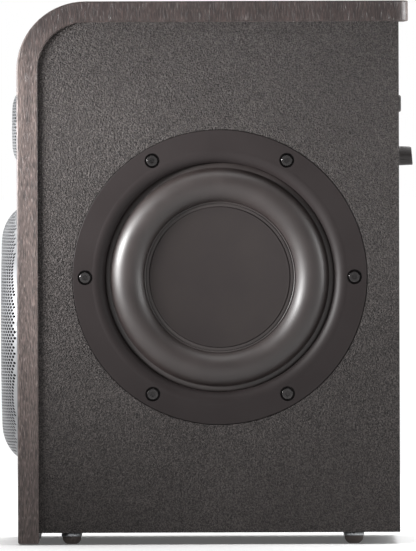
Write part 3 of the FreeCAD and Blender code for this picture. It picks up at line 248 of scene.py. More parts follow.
def veneer():
    """Smoked open-grain veneer: broad bands, streaks, fibres with light flecks, and dark pores."""
    f = Finish("veneer", Roughness=0.5, Specular_IOR_Level=0.4, Coat_Weight=0.15, Coat_Roughness=0.38)
    x, y, z = f.split(f.objects)
    grain, sideways = veneer_grain(f, x, y, z)
    bands = f.noise(f.stretched(grain, (210, 210, 14)), 1.0, 4.0, 0.55)
    streaks = f.noise(f.stretched(grain, (520, 520, 7)), 1.0, 5.0, 0.6)
    fibres = f.noise(f.stretched(grain, (2500, 2500, 210)), 1.0, 4.0, 0.6, 0.3)
    flecks = f.noise(f.stretched(grain, (2100, 2100, 330)), 1.0, 1.0, 0.4)
    pores = f.noise(f.stretched(grain, (2300, 2300, 170)), 1.0, 2.0, 0.5)
    base = f.ramp(f.levels(bands, *NOISE_SPAN), (0.0, srgb(66, 57, 55)), (0.55, srgb(77, 67, 64)),
                  (1.0, srgb(88, 77, 74)))
    colour = f.mix(1.0, base, f.ramp(f.levels(fibres, 0.32, 0.68), *FIBRE_SHADES), "MULTIPLY")
    figure = f.levels(streaks, 0.32, 0.68, 0.66, 1.34)
    strength = f.levels(sideways, 0.0, 1.0, 1.0, EDGE_STREAKS)
    colour = f.mix(strength, colour, f.mix(1.0, colour, figure, "MULTIPLY"))
    colour = f.mix(f.levels(flecks, 0.60, 0.72, 0.0, 0.5), colour, srgb(132, 121, 117))
    colour = f.mix(f.levels(pores, 0.36, 0.30, 0.0, 0.7), colour, srgb(34, 29, 28))
    # painted shade: the cut edge is darkened where it runs over the top
    rising = f.levels(z, TOP_Z - SHELL_RADIUS, TOP_Z - TOP_SHADE_ENDS * SHELL_RADIUS)
    top_shade = f.ramp(rising, (0.0, (1, 1, 1)), (1.0, EDGE_SHADE_OVER_THE_TOP))
    f.colour(f.mix(sideways, colour, f.mix(1.0, colour, top_shade, "MULTIPLY")))
    f.roughness(f.levels(fibres, *NOISE_SPAN, 0.62, 0.44))
    f.bump((f.levels(pores, 0.28, 0.4), 0.12 * MM), (fibres, 0.10 * MM))
    return f.material


def granular_paint():
    """Matt fibreboard paint with a fine, slightly lumpy grain."""
    f = Finish("granular_paint", Roughness=0.62, Specular_IOR_Level=0.2)
    lumps = f.noise(f.objects, 1200.0, 2.0, 0.6)
    grit = f.cells(f.objects, 1500.0)
    specks = f.noise(f.objects, 1700.0, 1.0, 0.5)
    cloud = f.noise(f.objects, 22.0, 3.0, 0.5)
    base = f.tint(cloud, srgb(56, 52, 51), srgb(62, 58, 57))
    tone = f.ramp(f.levels(specks, 0.33, 0.67), (0.0, (0.42, 0.42, 0.42)), (1.0, (1.7, 1.69, 1.68)))
    f.colour(f.mix(1.0, base, tone, "MULTIPLY"))
    f.roughness(f.levels(lumps, *NOISE_SPAN, 0.7, 0.52))
    f.bump((lumps, 0.0030), (grit, 0.0002))
    return f.material


def raw_board():
    f = Finish("raw_board", Roughness=0.85)
    chips = f.cells(f.stretched(f.objects, (1.0, 1.0, 0.6)), 420.0)
    f.colour(f.ramp(chips, (0.0, srgb(126, 96, 62)), (0.6, srgb(160, 126, 86))))
    f.bump((chips, 0.0001))
    return f.material


def moulded_plastic(name, dark, light, roughness=0.45, grain=0.00002, scale=2600.0, gloss=0.5):
    """Moulded plastic with a fine spark-eroded grain and faint flow variation."""
    f = Finish(name, Roughness=roughness, Specular_IOR_Level=gloss)
    pits = f.noise(f.objects, scale, 2.0, 0.6)
    flow = f.noise(f.objects, 35.0, 3.0, 0.5)
    f.colour(f.tint(flow, dark, light))
    both = f.math("ADD", f.math("MULTIPLY", pits, 0.5), f.math("MULTIPLY", flow, 0.5))
    f.roughness(f.levels(both, *NOISE_SPAN, roughness - 0.06, roughness + 0.08))
    f.bump((pits, grain))
    return f.material


def surround_rubber():
    """Pressed butyl rubber: satin, with faint mould bloom."""
    f = Finish("surround_rubber", Roughness=0.47, Specular_IOR_Level=0.62)
    bloom = f.noise(f.objects, 60.0, 4.0, 0.6)
    skin = f.noise(f.objects, 1700.0, 3.0, 0.6)
    f.colour(f.tint(bloom, srgb(35, 29, 28), srgb(42, 35, 34)))
    f.roughness(f.levels(bloom, *NOISE_SPAN, 0.43, 0.51))
    f.bump((skin, 0.00003))
    return f.material


def disc_coat():
    """Radiator plate: spun aluminium under a fine matt black coat."""
    f = Finish("disc_coat", Roughness=0.55, Specular_IOR_Level=0.25)
    dust = f.noise(f.objects, 5200.0, 2.0, 0.6)
    cloud = f.noise(f.objects, 45.0, 3.0, 0.5)
    f.colour(f.tint(cloud, srgb(37, 32, 32), srgb(41, 36, 35)))
    f.roughness(f.levels(dust, *NOISE_SPAN, 0.50, 0.62))
    f.bump((dust, 0.000015))
    return f.material


def grille_metal():
    """Pressed steel sheet in light silver grey; the light colour is partly painted reflection, the glare of
    the backlit sheet.
    """
    f = Finish("grille_metal", Roughness=0.4, Metallic=0.45)
    flake = f.noise(f.objects, 4200.0, 2.0, 0.6)
    cloud = f.noise(f.objects, 60.0, 3.0, 0.5)
    # painted reflection: the light grey stands in for the glare of the backlit grille
    f.colour(f.tint(cloud, srgb(120, 121, 123), srgb(136, 137, 139)))
    f.roughness(f.levels(flake, *NOISE_SPAN, 0.34, 0.48))
    f.bump((flake, 0.000008))
    return f.material


def worn_metal(name, dark, light, roughness=0.32, metallic=1.0, scratch=(900, 900, 40)):
    """Bare or plated metal with fine directional marks."""
    f = Finish(name, Roughness=roughness, Metallic=metallic)
    marks = f.noise(f.stretched(f.objects, scratch), 1.0, 4.0, 0.6)
    cloud = f.noise(f.objects, 90.0, 3.0, 0.5)
    f.colour(f.tint(cloud, dark, light))
    f.roughness(f.levels(marks, *NOISE_SPAN, roughness - 0.08, roughness + 0.12))
    f.bump((marks, 0.00001))
    return f.material


def powder_coat():
    """Fine black powder coat on the amplifier plate."""
    f = Finish("powder_coat", Roughness=0.5, Specular_IOR_Level=0.45)
    orange_peel = f.noise(f.objects, 1100.0, 2.0, 0.5)
    sparkle = f.cells(f.objects, 3000.0)
    f.colour(f.tint(orange_peel, srgb(38, 38, 39), srgb(47, 47, 48)))
    f.roughness(f.levels(sparkle, 0.0, 0.6, 0.42, 0.6))
    f.bump((orange_peel, 0.00006), (sparkle, 0.00001))
    return f.material


def woven_cone():
    """Coated woven cone: a fine two-way weave."""
    f = Finish("woven_cone", Roughness=0.42)
    threads = {"Vector": f.objects, "Scale": 420.0}
    warp = f.add("ShaderNodeTexWave", threads, bands_direction="X").outputs["Fac"]
    weft = f.add("ShaderNodeTexWave", threads, bands_direction="Z").outputs["Fac"]
    weave = f.math("MULTIPLY", warp, weft)
    f.colour(f.ramp(weave, (0.0, srgb(22, 22, 23)), (1.0, srgb(44, 44, 46))))
    f.bump((weave, 0.00005))
    return f.material


def cloth(name, dark, light, scale=1500.0):
    f = Finish(name, Roughness=0.8, Sheen_Weight=0.2)
    threads = f.noise(f.objects, scale, 2.0, 0.5)
    f.colour(f.tint(threads, dark, light))
    f.bump((threads, 0.00004))
    return f.material


def circuit_board():
    f = Finish("circuit_board", Roughness=0.35, Coat_Weight=0.3)
    tracks = f.cells(f.objects, 260.0, "DISTANCE_TO_EDGE")
    f.colour(f.ramp(tracks, (0.0, srgb(58, 112, 70)), (0.08, srgb(24, 74, 40)), (1.0, srgb(20, 64, 35))))
    f.bump((tracks, 0.00003))
    return f.material


def foot_rubber():
    f = Finish("foot_rubber", Roughness=0.62)
    skin = f.noise(f.objects, 1800.0, 3.0, 0.6)
    # painted light: the pads are coloured light so that they read as lit in the shade under the cabinet
    f.colour(f.tint(skin, srgb(108, 100, 96), srgb(122, 113, 108)))
    f.bump((skin, 0.00004))
    return f.material


def printed_ink():
    f = Finish("printed_ink", Roughness=0.55)
    wear = f.noise(f.objects, 2400.0, 3.0, 0.6)
    f.colour(f.ramp(f.levels(wear, 0.25, 0.5), (0.0, srgb(150, 150, 150)), (1.0, srgb(196, 196, 195))))
    f.bump((wear, 0.00001))
    return f.material


MATERIALS = {
    "veneer": veneer(),
    "panel_paint": granular_paint(),
    "raw_board": raw_board(),
    "brass": worn_metal("brass", srgb(168, 132, 66), srgb(196, 160, 92)),
    "black_plate": powder_coat(),
    "black_screws": worn_metal("black_screws", srgb(58, 56, 56), srgb(72, 70, 70), 0.22, 0.85,
                               (700, 700, 700)),
    "bay_plastic": moulded_plastic("bay_plastic", srgb(30, 30, 31), srgb(38, 38, 39), 0.5, 0.00006, 1500.0),
    "socket_plastic": moulded_plastic("socket_plastic", srgb(22, 22, 23), srgb(30, 30, 31), 0.35),
    "plated_barrel": worn_metal("plated_barrel", srgb(196, 194, 186), srgb(222, 220, 212), 0.2),
    "control_plastic": moulded_plastic("control_plastic", srgb(44, 40, 39), srgb(52, 48, 47), 0.42),
    "bare_aluminium": worn_metal("bare_aluminium", srgb(170, 172, 175), srgb(196, 198, 200), 0.35),
    "circuit_board": circuit_board(),
    "transformer_wrap": cloth("transformer_wrap", srgb(120, 84, 20), srgb(170, 124, 44), 900.0),
    "radiator_frame": moulded_plastic("radiator_frame", srgb(34, 29, 29), srgb(38, 33, 33), 0.5, 0.000012,
                                      4200.0, 0.22),
    "surround_rubber": surround_rubber(),
    "radiator_disc": disc_coat(),
    "steel": worn_metal("steel", srgb(150, 152, 156), srgb(186, 188, 190), 0.3),
    "ferrite": moulded_plastic("ferrite", srgb(52, 52, 55), srgb(66, 66, 69), 0.6, 0.00008, 900.0),
    "cast_basket": moulded_plastic("cast_basket", srgb(34, 34, 35), srgb(44, 44, 45), 0.5, 0.00006, 1400.0),
    "cone": woven_cone(),
    "coil": worn_metal("coil", srgb(176, 104, 62), srgb(204, 134, 88), 0.3, 1.0, (60, 4000, 60)),
    "spider_cloth": cloth("spider_cloth", srgb(136, 98, 44), srgb(180, 140, 80)),
    "dome_cloth": cloth("dome_cloth", srgb(22, 22, 23), srgb(40, 40, 42), 2600.0),
    "grille_metal": grille_metal(),
    # painted shade: near-black sheet under the grilles, the dark that the holes show
    "grille_shade_sheet": moulded_plastic("grille_shade_sheet", srgb(6, 6, 6), srgb(13, 13, 13), 0.9, 0.00004,
                                    2400.0, 0.1),
    "tweeter_plastic": moulded_plastic("tweeter_plastic", srgb(34, 34, 35), srgb(42, 42, 43), 0.4),
    "lead": moulded_plastic("lead", srgb(24, 24, 24), srgb(36, 36, 36), 0.5),
    "foot_rubber": foot_rubber(),
    "white_insulator": moulded_plastic("white_insulator", srgb(206, 204, 198), srgb(222, 220, 214), 0.4),
    "printed_ink": printed_ink(),
}


# ------------------------------------------------------------------ mesh helpers
CRISP = 32.0               # degrees; edges that turn more than this are shaded as edges


def axes_for(outward):
    """Two directions square to outward, which lies along an axis."""
    side = BACK if outward.x else RIGHT
    up = BACK if outward.z else UP
    return side, up


def arc(start, middle_point, end, steps):
    """Points after start on the arc through the three points, in a plane."""
    (ax, ay), (bx, by), (cx, cy) = start, middle_point, end
    a, b, c = ax * ax + ay * ay, bx * bx + by * by, cx * cx + cy * cy
    d = 2 * (ax * (by - cy) + bx * (cy - ay) + cx * (ay - by))
    ux = (a * (by - cy) + b * (cy - ay) + c * (ay - by)) / d
    uy = (a * (cx - bx) + b * (ax - cx) + c * (bx - ax)) / d
    radius = math.hypot(ax - ux, ay - uy)
    first, half, last = (math.atan2(q - uy, p - ux) for p, q in (start, middle_point, end))
    sweep = (last - first) % (2 * math.pi)
    if (half - first) % (2 * math.pi) > sweep:
        sweep -= 2 * math.pi
    found = []
    for i in range(1, steps + 1):
        angle = first + sweep * i / steps
        found.append((ux + radius * math.cos(angle), uy + radius * math.sin(angle)))
    return found


def new_piece(name, mesh, material, body, angle=CRISP):
    """Adds a finished mesh as a piece: smooth shading with crisp edges, a material and a body.

    A piece that is given no body is left unattached here.
    """
    mesh.polygons.foreach_set("use_smooth", [True] * len(mesh.polygons))
    mesh.set_sharp_from_angle(angle=math.radians(angle))
    mesh.materials.append(MATERIALS[material])
    piece = bpy.data.objects.new(name, mesh)
    bpy.context.scene.collection.objects.link(piece)
    if body:
        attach(piece, body)
    return piece


def to_mesh(name, bm):
    bmesh.ops.recalc_face_normals(bm, faces=bm.faces)
    mesh = bpy.data.meshes.new(name)
    bm.to_mesh(mesh)
    bm.free()
    return mesh


def lathe_into(bm, outline, centre, outward, segments):
    """Adds a closed outline of (radius, height) in millimetres, turned about outward through centre."""
    side, up = axes_for(outward)
    rings = []
    for radius, height in outline:
        foot = centre + outward * (height * MM)
        if radius == 0:
            rings.append([bm.verts.new(foot)] * segments)
            continue
        ring = []
        for i in range(segments):
            angle = 2 * math.pi * i / segments
            ray = side * math.cos(angle) + up * math.sin(angle)
            ring.append(bm.verts.new(foot + ray * radius * MM))
        rings.append(ring)
    for first, second in zip(rings, rings[1:] + rings[:1]):
        for i in range(segments):
            j = (i + 1) % segments
            corners = [first[i], first[j], second[j], second[i]]
            unique = [v for k, v in enumerate(corners) if v not in corners[:k]]
            if len(unique) > 2:
                bm.faces.new(unique)


def lathe(name, outline, centre, outward, material, body, segments, angle=CRISP):
    """A turned piece."""
    bm = bmesh.new()
    lathe_into(bm, outline, centre, outward, segments)
    return new_piece(name, to_mesh(name, bm), material, body, angle)


# ------------------------------------------------------------------ perforated grilles
# Lengths are in millimetres from here to the stage, whose lengths are in metres.
HOLE_PITCH = 1.78
HOLE_RADIUS = 0.67
HOLE_SIDES = 10
HOLE_MARGIN = 0.85         # least distance from a hole's centre to the rim
SHEET = 0.3                # depth of the holes' walls
RIM_STEPS = 240
RIM_BAND = 0.5             # the sheet's edge within this band runs down to the front face
KNEE = 0.927               # height of the shoulder's top, as a share of the rise
SLOPE_STEP = 0.2
LINING = 0.5               # how far the near-black lining, painted shade for the holes, lies under the grille's outer skin
SHADE_SHEET_THICKNESS = 0.1
LINING_STEPS = 24
WOOFER_SHOULDER, WOOFER_SKIRT = 16.3, 0.5
TWEETER_SHOULDER, TWEETER_SKIRT = 8.4, 0.3


def cap_height(edge, low, high, radius):
    """Height at a radius of a round cap that is high in the middle and low at its edge."""
    drop = high - low
    sphere = (edge ** 2 + drop ** 2) / (2 * drop)
    return high - sphere + math.sqrt(sphere ** 2 - radius ** 2)


def dome_height(shape, radius):
    """Height of the grille's outer skin; shape is (radius, rise, shoulder, skirt)."""
    rim, rise, shoulder, skirt = shape
    knee = rise * KNEE
    edge = rim - shoulder
    if radius <= edge:
        return cap_height(edge, knee, rise, radius)
    return cap_height(shoulder, skirt, knee, min(radius, rim) - edge)


def hole_centres(limit):
    """Holes in level rows, every second row shifted by half a pitch."""
    row_step = HOLE_PITCH * math.sqrt(3) / 2
    rows = int(limit / row_step) + 1
    found = []
    for row in range(-rows, rows + 1):
        shift = HOLE_PITCH / 2 if row % 2 else 0.0
        columns = int(limit / HOLE_PITCH) + 2
        for column in range(-columns, columns + 1):
            u, v = column * HOLE_PITCH + shift, row * row_step
            if math.hypot(u, v) < limit:
                found.append((u, v))
    return found


def circle(u, v, radius, steps, turned=0.0):
    """Points round (u, v); turned is how many steps the first one is turned by."""
    angles = [2 * math.pi * (i + turned) / steps for i in range(steps)]
    return [Vector((u + radius * math.cos(a), v + radius * math.sin(a))) for a in angles]


def perforated_sheet(radius):
    """Triangles of a flat disc with its holes left out: points, and faces by the numbers of their points."""
    points = circle(0, 0, radius, RIM_STEPS)
    loops = [list(range(RIM_STEPS))]
    for u, v in hole_centres(radius - HOLE_MARGIN):
        loops.append(list(range(len(points), len(points) + HOLE_SIDES)))
        points += circle(u, v, HOLE_RADIUS, HOLE_SIDES, 0.5)
    flat, _, faces, _, _, _ = delaunay_2d_cdt(points, [], loops, 2, 1e-6)
    return flat, faces


def wall_foot(shape, u, v):
    """Where the sheet's edge at (u, v) ends: square under the skin, or on the front face at the rim."""
    r = math.hypot(u, v)
    if r > shape[0] - RIM_BAND:
        return u, v, 0.0
    slope = (dome_height(shape, r + SLOPE_STEP) - dome_height(shape, r - SLOPE_STEP)) / (2 * SLOPE_STEP)
    lean = SHEET / math.sqrt(1 + slope * slope)
    shift = 1 + lean * slope / r
    return u * shift, v * shift, dome_height(shape, r) - lean


def perforated_dome(name, node, centre, shoulder, skirt):
    """Pressed grille: a triangulated dome with round holes that have walls, over a plain skirt."""
    low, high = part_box(node)
    radius = (high.x - low.x) / 2 / MM
    shape = (radius, (FRONT_Y - low.y) / MM, shoulder, skirt)
    flat, faces = perforated_sheet(radius)
    bm = bmesh.new()

    def place(u, v, height):
        return centre + Vector((u, 0, v)) * MM + FRONT * (height * MM)

    top = [bm.verts.new(place(p.x, p.y, dome_height(shape, p.length))) for p in flat]
    for face in faces:
        bm.faces.new([top[i] for i in face])
    # The walls are built here because the extrude operator lists its faces in a new order on each run.
    rim = [loop for face in bm.faces for loop in face.loops if loop.edge.is_boundary]
    foot = {}
    for loop in rim:
        local = (loop.vert.co - centre) / MM
        foot[loop.vert] = bm.verts.new(place(*wall_foot(shape, local.x, local.z)))
    for loop in rim:
        start, end = loop.vert, loop.link_loop_next.vert
        bm.faces.new((end, start, foot[start], foot[end]))
    piece = new_piece(name, to_mesh(name, bm), "grille_metal", CABINET, 40.0)
    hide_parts(node)
    # painted shade: a near-black sheet under the grille darkens what the holes show
    grille_shade_lining(f"{node}_lining", shape, centre)


def cut_width(outline):
    """Width of the flat disc of the shade lining that has the dome's own area, in metres."""
    steps = zip(outline, outline[1:])
    area = sum((a[0] + b[0]) * math.hypot(b[0] - a[0], b[1] - a[1]) for a, b in steps)
    return 2 * math.sqrt(area) * MM


def grille_shade_lining(name, shape, centre):
    """Near-black sheet stretched under the grille: painted shade, the dark that the holes show."""
    edge = shape[0] - 2 * LINING
    outline = []
    for i in range(LINING_STEPS + 1):
        radius = edge * i / LINING_STEPS
        outline.append((radius, dome_height(shape, radius) - LINING))
    width = cut_width(outline)
    outline += [(radius, height - SHADE_SHEET_THICKNESS) for radius, height in reversed(outline)]
    piece = lathe(name, outline, centre, FRONT, "grille_shade_sheet", CABINET, 128)


# ------------------------------------------------------------------ passive radiators
# Heights are out from the side panel's face here, and out from the front face for the woofer below.
DISC_RADIUS = 35.1
DISC_TOP = -3.9
DISC_FIELD = DISC_TOP - 0.12                # the flat middle, a little below the raised edge
DISC_SEAM = DISC_TOP - 0.6                  # where the rubber and the disc's edge are joined
DISC_FOOT = DISC_TOP - 2.4
DISC_GAP = 0.06                             # between the disc and the rubber's inner lip
LEDGE = -5.2                                # the frame's ledge that the rubber's outer lip lies on
OPENING = 57.0                              # radius of the frame's opening
RUBBER = 0.9
ROLL_OUTER = 53.8
ROLL_INNER = 37.4
ROLL_RISE = 5.3
GROOVE_DEPTH = 0.3                          # between the roll's inner bead and the flat lip
RING_SEGMENTS = 256


def surround_outline():
    """Flat outer lip, half roll, inner bead, narrow groove, lip flush with the disc, then the lower skin."""
    lip = LEDGE + RUBBER
    crest_radius = (ROLL_OUTER + ROLL_INNER) / 2
    crest = (crest_radius, (lip + DISC_TOP + RUBBER) / 2 + ROLL_RISE)
    under_crest = (crest_radius, (LEDGE + DISC_SEAM) / 2 + ROLL_RISE)
    outer = (ROLL_OUTER + 0.45, lip + 0.12)
    inner = (ROLL_INNER + 0.3, DISC_TOP + 0.2)
    seam = (ROLL_INNER + RUBBER, DISC_SEAM)
    groove = DISC_TOP - GROOVE_DEPTH
    flush = DISC_TOP - 0.02
    points = [(OPENING - 0.1, LEDGE), (OPENING - 0.1, lip - 0.2), (OPENING - 0.3, lip)]
    points += [(ROLL_OUTER + 0.9, lip), outer]
    points += arc(outer, crest, inner, 40)
    points += arc(inner, (ROLL_INNER - 0.1, DISC_TOP + 0.4), (ROLL_INNER - 0.5, DISC_TOP + 0.05), 8)
    points += [(ROLL_INNER - 0.55, groove), (ROLL_INNER - 0.95, groove)]
    points += [(ROLL_INNER - 1.05, flush), (DISC_RADIUS + DISC_GAP, flush)]
    points += [(DISC_RADIUS + DISC_GAP, DISC_SEAM), seam]
    points += arc(seam, under_crest, (ROLL_OUTER - RUBBER, LEDGE), 30)
    return points


def flexing_ring(name, node, outline, centre, outward):
    """A turned ring that takes the place of a node, between the still cabinet and a moving part; it gets no
    body.
    """
    slot = SLOTS[node]
    bm = bmesh.new()
    lathe_into(bm, outline, centre, outward, RING_SEGMENTS)
    piece = new_piece(name, to_mesh(name, bm), slot, None, 60.0)
    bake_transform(piece)
    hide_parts(node)


def disc_outline():
    """Flat plate with a fine raised edge that is flush with the rubber's inner lip."""
    shoulder = (DISC_RADIUS - 0.7, DISC_TOP)
    points = [(0, DISC_FIELD), (DISC_RADIUS - 1.6, DISC_FIELD)]
    points += [(DISC_RADIUS - 1.1, DISC_TOP - 0.03), shoulder]
    points += arc(shoulder, (DISC_RADIUS - 0.17, DISC_FIELD), (DISC_RADIUS, DISC_TOP - 0.5), 6)
    points += [(DISC_RADIUS, DISC_SEAM), (ROLL_INNER + RUBBER, DISC_SEAM)]
    points += [(ROLL_INNER + RUBBER, DISC_FOOT), (0, DISC_FOOT)]
    return points


def make_radiators():
    for side_name, outward in (("right", RIGHT), ("left", -RIGHT)):
        moving = f"{side_name}_radiator_moving_parts"
        centre = Vector((outward.x * PANEL_X, RADIATOR_Y, RADIATOR_Z))
        flexing_ring(f"{side_name}_surround_roll", f"{side_name}_radiator_surround",
                     surround_outline(), centre, outward)
        disc = lathe(f"{side_name}_disc_plate", disc_outline(), centre, outward, "radiator_disc", moving,
                     200, 28)
        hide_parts(f"{side_name}_radiator_disc")


# ------------------------------------------------------------------ the woofer's two flexing rings
LANDING = -2.4             # the basket's face that the roll's outer lip lies on
LANDING_RIM = 52.9
WOOFER_ROLL_FOOT = 51.0    # radius at which the roll meets its outer lip
WOOFER_ROLL_RISE = 4.2
CONE_EDGE = 42.0
CONE_TOP = -2.2
WOOFER_RUBBER = 0.8
SPIDER_OUTER = 34.0
SPIDER_INNER = 12.6
SPIDER_HEIGHT = -27.0
SPIDER_SKIN = 0.6
SPIDER_WAVE = 1.1
SPIDER_WAVES = 4


def arch(start, end, rise, steps):
    """Points after start on an arc to end that stands rise above the chord."""
    crest = ((start[0] + end[0]) / 2, (start[1] + end[1]) / 2 + rise)
    return arc(start, crest, end, steps)


def woofer_roll_outline():
    """Flat outer lip, half roll, a lip that thins out on the cone, then the lower skin."""
    outer = (WOOFER_ROLL_FOOT, LANDING + WOOFER_RUBBER)
    inner = (CONE_EDGE + 0.6, CONE_TOP + WOOFER_RUBBER)
    under_inner = (CONE_EDGE, CONE_TOP)
    under_outer = (WOOFER_ROLL_FOOT - 0.6, LANDING)
    points = [(LANDING_RIM, LANDING), (LANDING_RIM, LANDING + WOOFER_RUBBER), outer]
    points += arch(outer, inner, WOOFER_ROLL_RISE, 30)
    points += [(CONE_EDGE - 1.8, CONE_TOP), under_inner]
    points += arch(under_inner, under_outer, WOOFER_ROLL_RISE - 0.2, 30)
    return points


def spider_skin(height):
    """The spider's waves from its outer edge to the coil, the first one outward."""
    span = (SPIDER_OUTER - SPIDER_INNER) / SPIDER_WAVES
    points = [(SPIDER_OUTER, height)]
    for i in range(SPIDER_WAVES):
        wave = SPIDER_WAVE if i % 2 == 0 else -SPIDER_WAVE
        start = SPIDER_OUTER - span * i
        points += arch((start, height), (start - span, height), wave, 10)
    return points


def make_woofer_rings():
    flexing_ring("woofer_roll", "woofer_surround", woofer_roll_outline(), WOOFER, FRONT)
    waves = spider_skin(SPIDER_HEIGHT) + spider_skin(SPIDER_HEIGHT - SPIDER_SKIN)[::-1]
    flexing_ring("woofer_spider_waves", "woofer_spider", waves, WOOFER, FRONT)


# ------------------------------------------------------------------ feet
FOOT_DISC = 5.1            # radii, and heights above the floor
FOOT_DISC_FLAT = 4.7
FOOT_DISC_LOW, FOOT_DISC_HIGH = 3.7, 5.7
FOOT_STUD = 3.0
FOOT_STUD_TOP = 17.5
FOOT_CHAMFER = 0.3
PAD_RADIUS = 4.65
PAD_TREAD = 2.3            # the ring that stands on the floor
PAD_HOLLOW = 0.35


def stud_outline():
    """Round-edged disc with a chamfered stud on it."""
    low_edge = (FOOT_DISC_FLAT, FOOT_DISC_LOW)
    high_edge = (FOOT_DISC, 5.2)
    points = [(0, FOOT_DISC_LOW), low_edge] + arc(low_edge, (5.0, 3.82), (FOOT_DISC, 4.1), 4)
    points += [high_edge] + arc(high_edge, (5.0, 5.5), (FOOT_DISC_FLAT, FOOT_DISC_HIGH), 4)
    points += [(FOOT_STUD, FOOT_DISC_HIGH), (FOOT_STUD, FOOT_STUD_TOP - FOOT_CHAMFER)]
    points += [(FOOT_STUD - FOOT_CHAMFER, FOOT_STUD_TOP), (0, FOOT_STUD_TOP)]
    return points


def pad_outline():
    """Rounded rubber pad, slightly hollow in the middle of its tread."""
    tread = (PAD_TREAD, 0.02)
    points = [(0, PAD_HOLLOW), (1.5, 0.3), (1.9, 0.0), tread]
    points += arc(tread, (3.9, 1.15), (PAD_RADIUS, 3.3), 12)
    points += [(PAD_RADIUS, FOOT_DISC_LOW), (0, FOOT_DISC_LOW)]
    return points


def make_feet():
    for end in ("front", "rear"):
        for side_name in ("right", "left"):
            node = f"foot_{end}_{side_name}"
            centre = middle(node)
            centre.z = 0
            metal = lathe(f"{node}_disc", stud_outline(), centre, UP, "steel", node, 64)
            lathe(f"{node}_pad", pad_outline(), centre, UP, "foot_rubber", node, 64)
            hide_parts(node)


# ------------------------------------------------------------------ back: marks, rings and contacts
KNOBS = ("low_shelf_knob", "low_mid_knob", "high_shelf_knob")
KNOB_RADIUS = 4.6
KNOB_RISE = 7.4
KNOB_SLOPE = math.tan(math.radians(5))      # its face slopes down towards the pointer's tip
WASHER = ((3.7, 0.0), (6.0, 0.0), (6.0, 0.2), (5.85, 0.34), (3.7, 0.34))    # radius, height
POINTER_REACH = 3.7
POINTER_START = 0.12       # as a share of the reach
POINTER_WIDTH = 0.7
POINTER_SKIN = 0.07
POINTER_SUNK = 0.02
INK = 0.03                 # height of a printed mark
THIN_LINE, FRAME_LINE = 0.35, 0.3
TICKS = 11
TICK_SWEEP = 300.0         # degrees
TICK_RADIUS = 7.0
LONG_TICK, SHORT_TICK = 2.4, 1.4
GROUP_HALF_WIDTH = 44.0
KNOB_GROUP, SWITCH_GROUP = (176.0, 208.0), (157.0, 175.0)                   # heights above the floor
STOP_MARK = (161.0, 162.6)
HALF_TRAVELS = (("high_pass_slider", 3.0), ("sensitivity_slider", 1.5))
BUTTON_BEZEL = ((4.62, 0.0), (5.5, 0.0), (5.5, 0.3), (5.3, 0.5), (4.62, 0.5))
LAMP = ((0, 0.0), (0.9, 0.0), (0.9, 0.15), (0.7, 0.36), (0, 0.45))
LAMP_LIFT = 9.5
BLADES = ((-7.0, -1.5), (7.0, -1.5), (0.0, 2.5))                            # from the inlet's middle
BLADE_FOOT = -16.0
BLADE_HALF_HEIGHT, BLADE_WIDTH, BLADE_LENGTH = 2.03, 2.06, 11.05
CONTACT_CIRCLE = 4.0
CONTACT = ((0.75, -9.0), (1.28, -9.0), (1.28, 0.7), (1.18, 0.78), (0.75, 0.5))
LATCH_LIFT, LATCH_FOOT = 12.1, 1.7
LATCH_HALF_WIDTH, LATCH_HEIGHT, LATCH_DEPTH = 2.6, 2.4, 1.5
INSULATOR = ((1.25, 6.6), (2.98, 6.6), (2.98, 7.66), (1.6, 7.72), (1.25, 7.5))
ROCKER_MARK_FOOT, ROCKER_MARK_LIFT = 2.45, 3.2
ROCKER_MARK_LENGTH, ROCKER_MARK_WIDTH, ROCKER_MARK_DEPTH = 2.4, 0.5, 0.2


def stroke_into(bm, start, end, width, height):
    """Adds a straight bar from start to end that stands out towards the back."""
    half = (end - start).normalized().cross(BACK).normalized() * (width * MM / 2)
    foot = [bm.verts.new(corner) for corner in (start + half, end + half, end - half, start - half)]
    top = [bm.verts.new(vert.co + BACK * (height * MM)) for vert in foot]
    bm.faces.new(foot[::-1])
    bm.faces.new(top)
    for i in range(4):
        j = (i + 1) % 4
        bm.faces.new([foot[i], foot[j], top[j], top[i]])


def bars(name, strokes, width, height, material, body=CABINET):
    """One piece made of straight bars."""
    bm = bmesh.new()
    for start, end in strokes:
        stroke_into(bm, start, end, width, height)
    return new_piece(name, to_mesh(name, bm), material, body, 20.0)


def on_plate(x, z):
    return Vector((x * MM, BACK_Y, z * MM))


def at_depth(node, y):
    """A node's middle, moved to y."""
    place = middle(node)
    return Vector((place.x, y, place.z))


def dial_strokes(centre):
    """Ticks round a knob, the first, middle and last one longer."""
    strokes = []
    for i in range(TICKS):
        angle = math.radians(90 + TICK_SWEEP / 2 - TICK_SWEEP * i / (TICKS - 1))
        outward = Vector((-math.cos(angle), 0, math.sin(angle)))
        length = LONG_TICK if i in (0, TICKS // 2, TICKS - 1) else SHORT_TICK
        strokes.append((centre + outward * TICK_RADIUS * MM, centre + outward * (TICK_RADIUS + length) * MM))
    return strokes


def make_dials():
    ticks = []
    for node in KNOBS:
        centre = at_depth(node, BACK_Y)
        ticks += dial_strokes(centre)
        lathe(f"{node}_washer", WASHER, centre, BACK, "steel", CABINET, 96)
        root = centre + BACK * ((KNOB_RISE - KNOB_RADIUS * KNOB_SLOPE - POINTER_SUNK) * MM)
        line = (UP + FRONT * KNOB_SLOPE) * (POINTER_REACH * MM)
        bars(f"{node}_pointer", [(root + line * POINTER_START, root + line)], POINTER_WIDTH, POINTER_SKIN,
             "printed_ink", node)
    bars("dial_ticks", ticks, THIN_LINE, INK, "printed_ink")


def frame_strokes(low, high):
    """The four sides of a frame round a group of controls, from one height to another."""
    left, right = -GROUP_HALF_WIDTH, GROUP_HALF_WIDTH
    corners = [on_plate(left, low), on_plate(right, low), on_plate(right, high), on_plate(left, high)]
    return list(zip(corners, corners[1:] + corners[:1]))


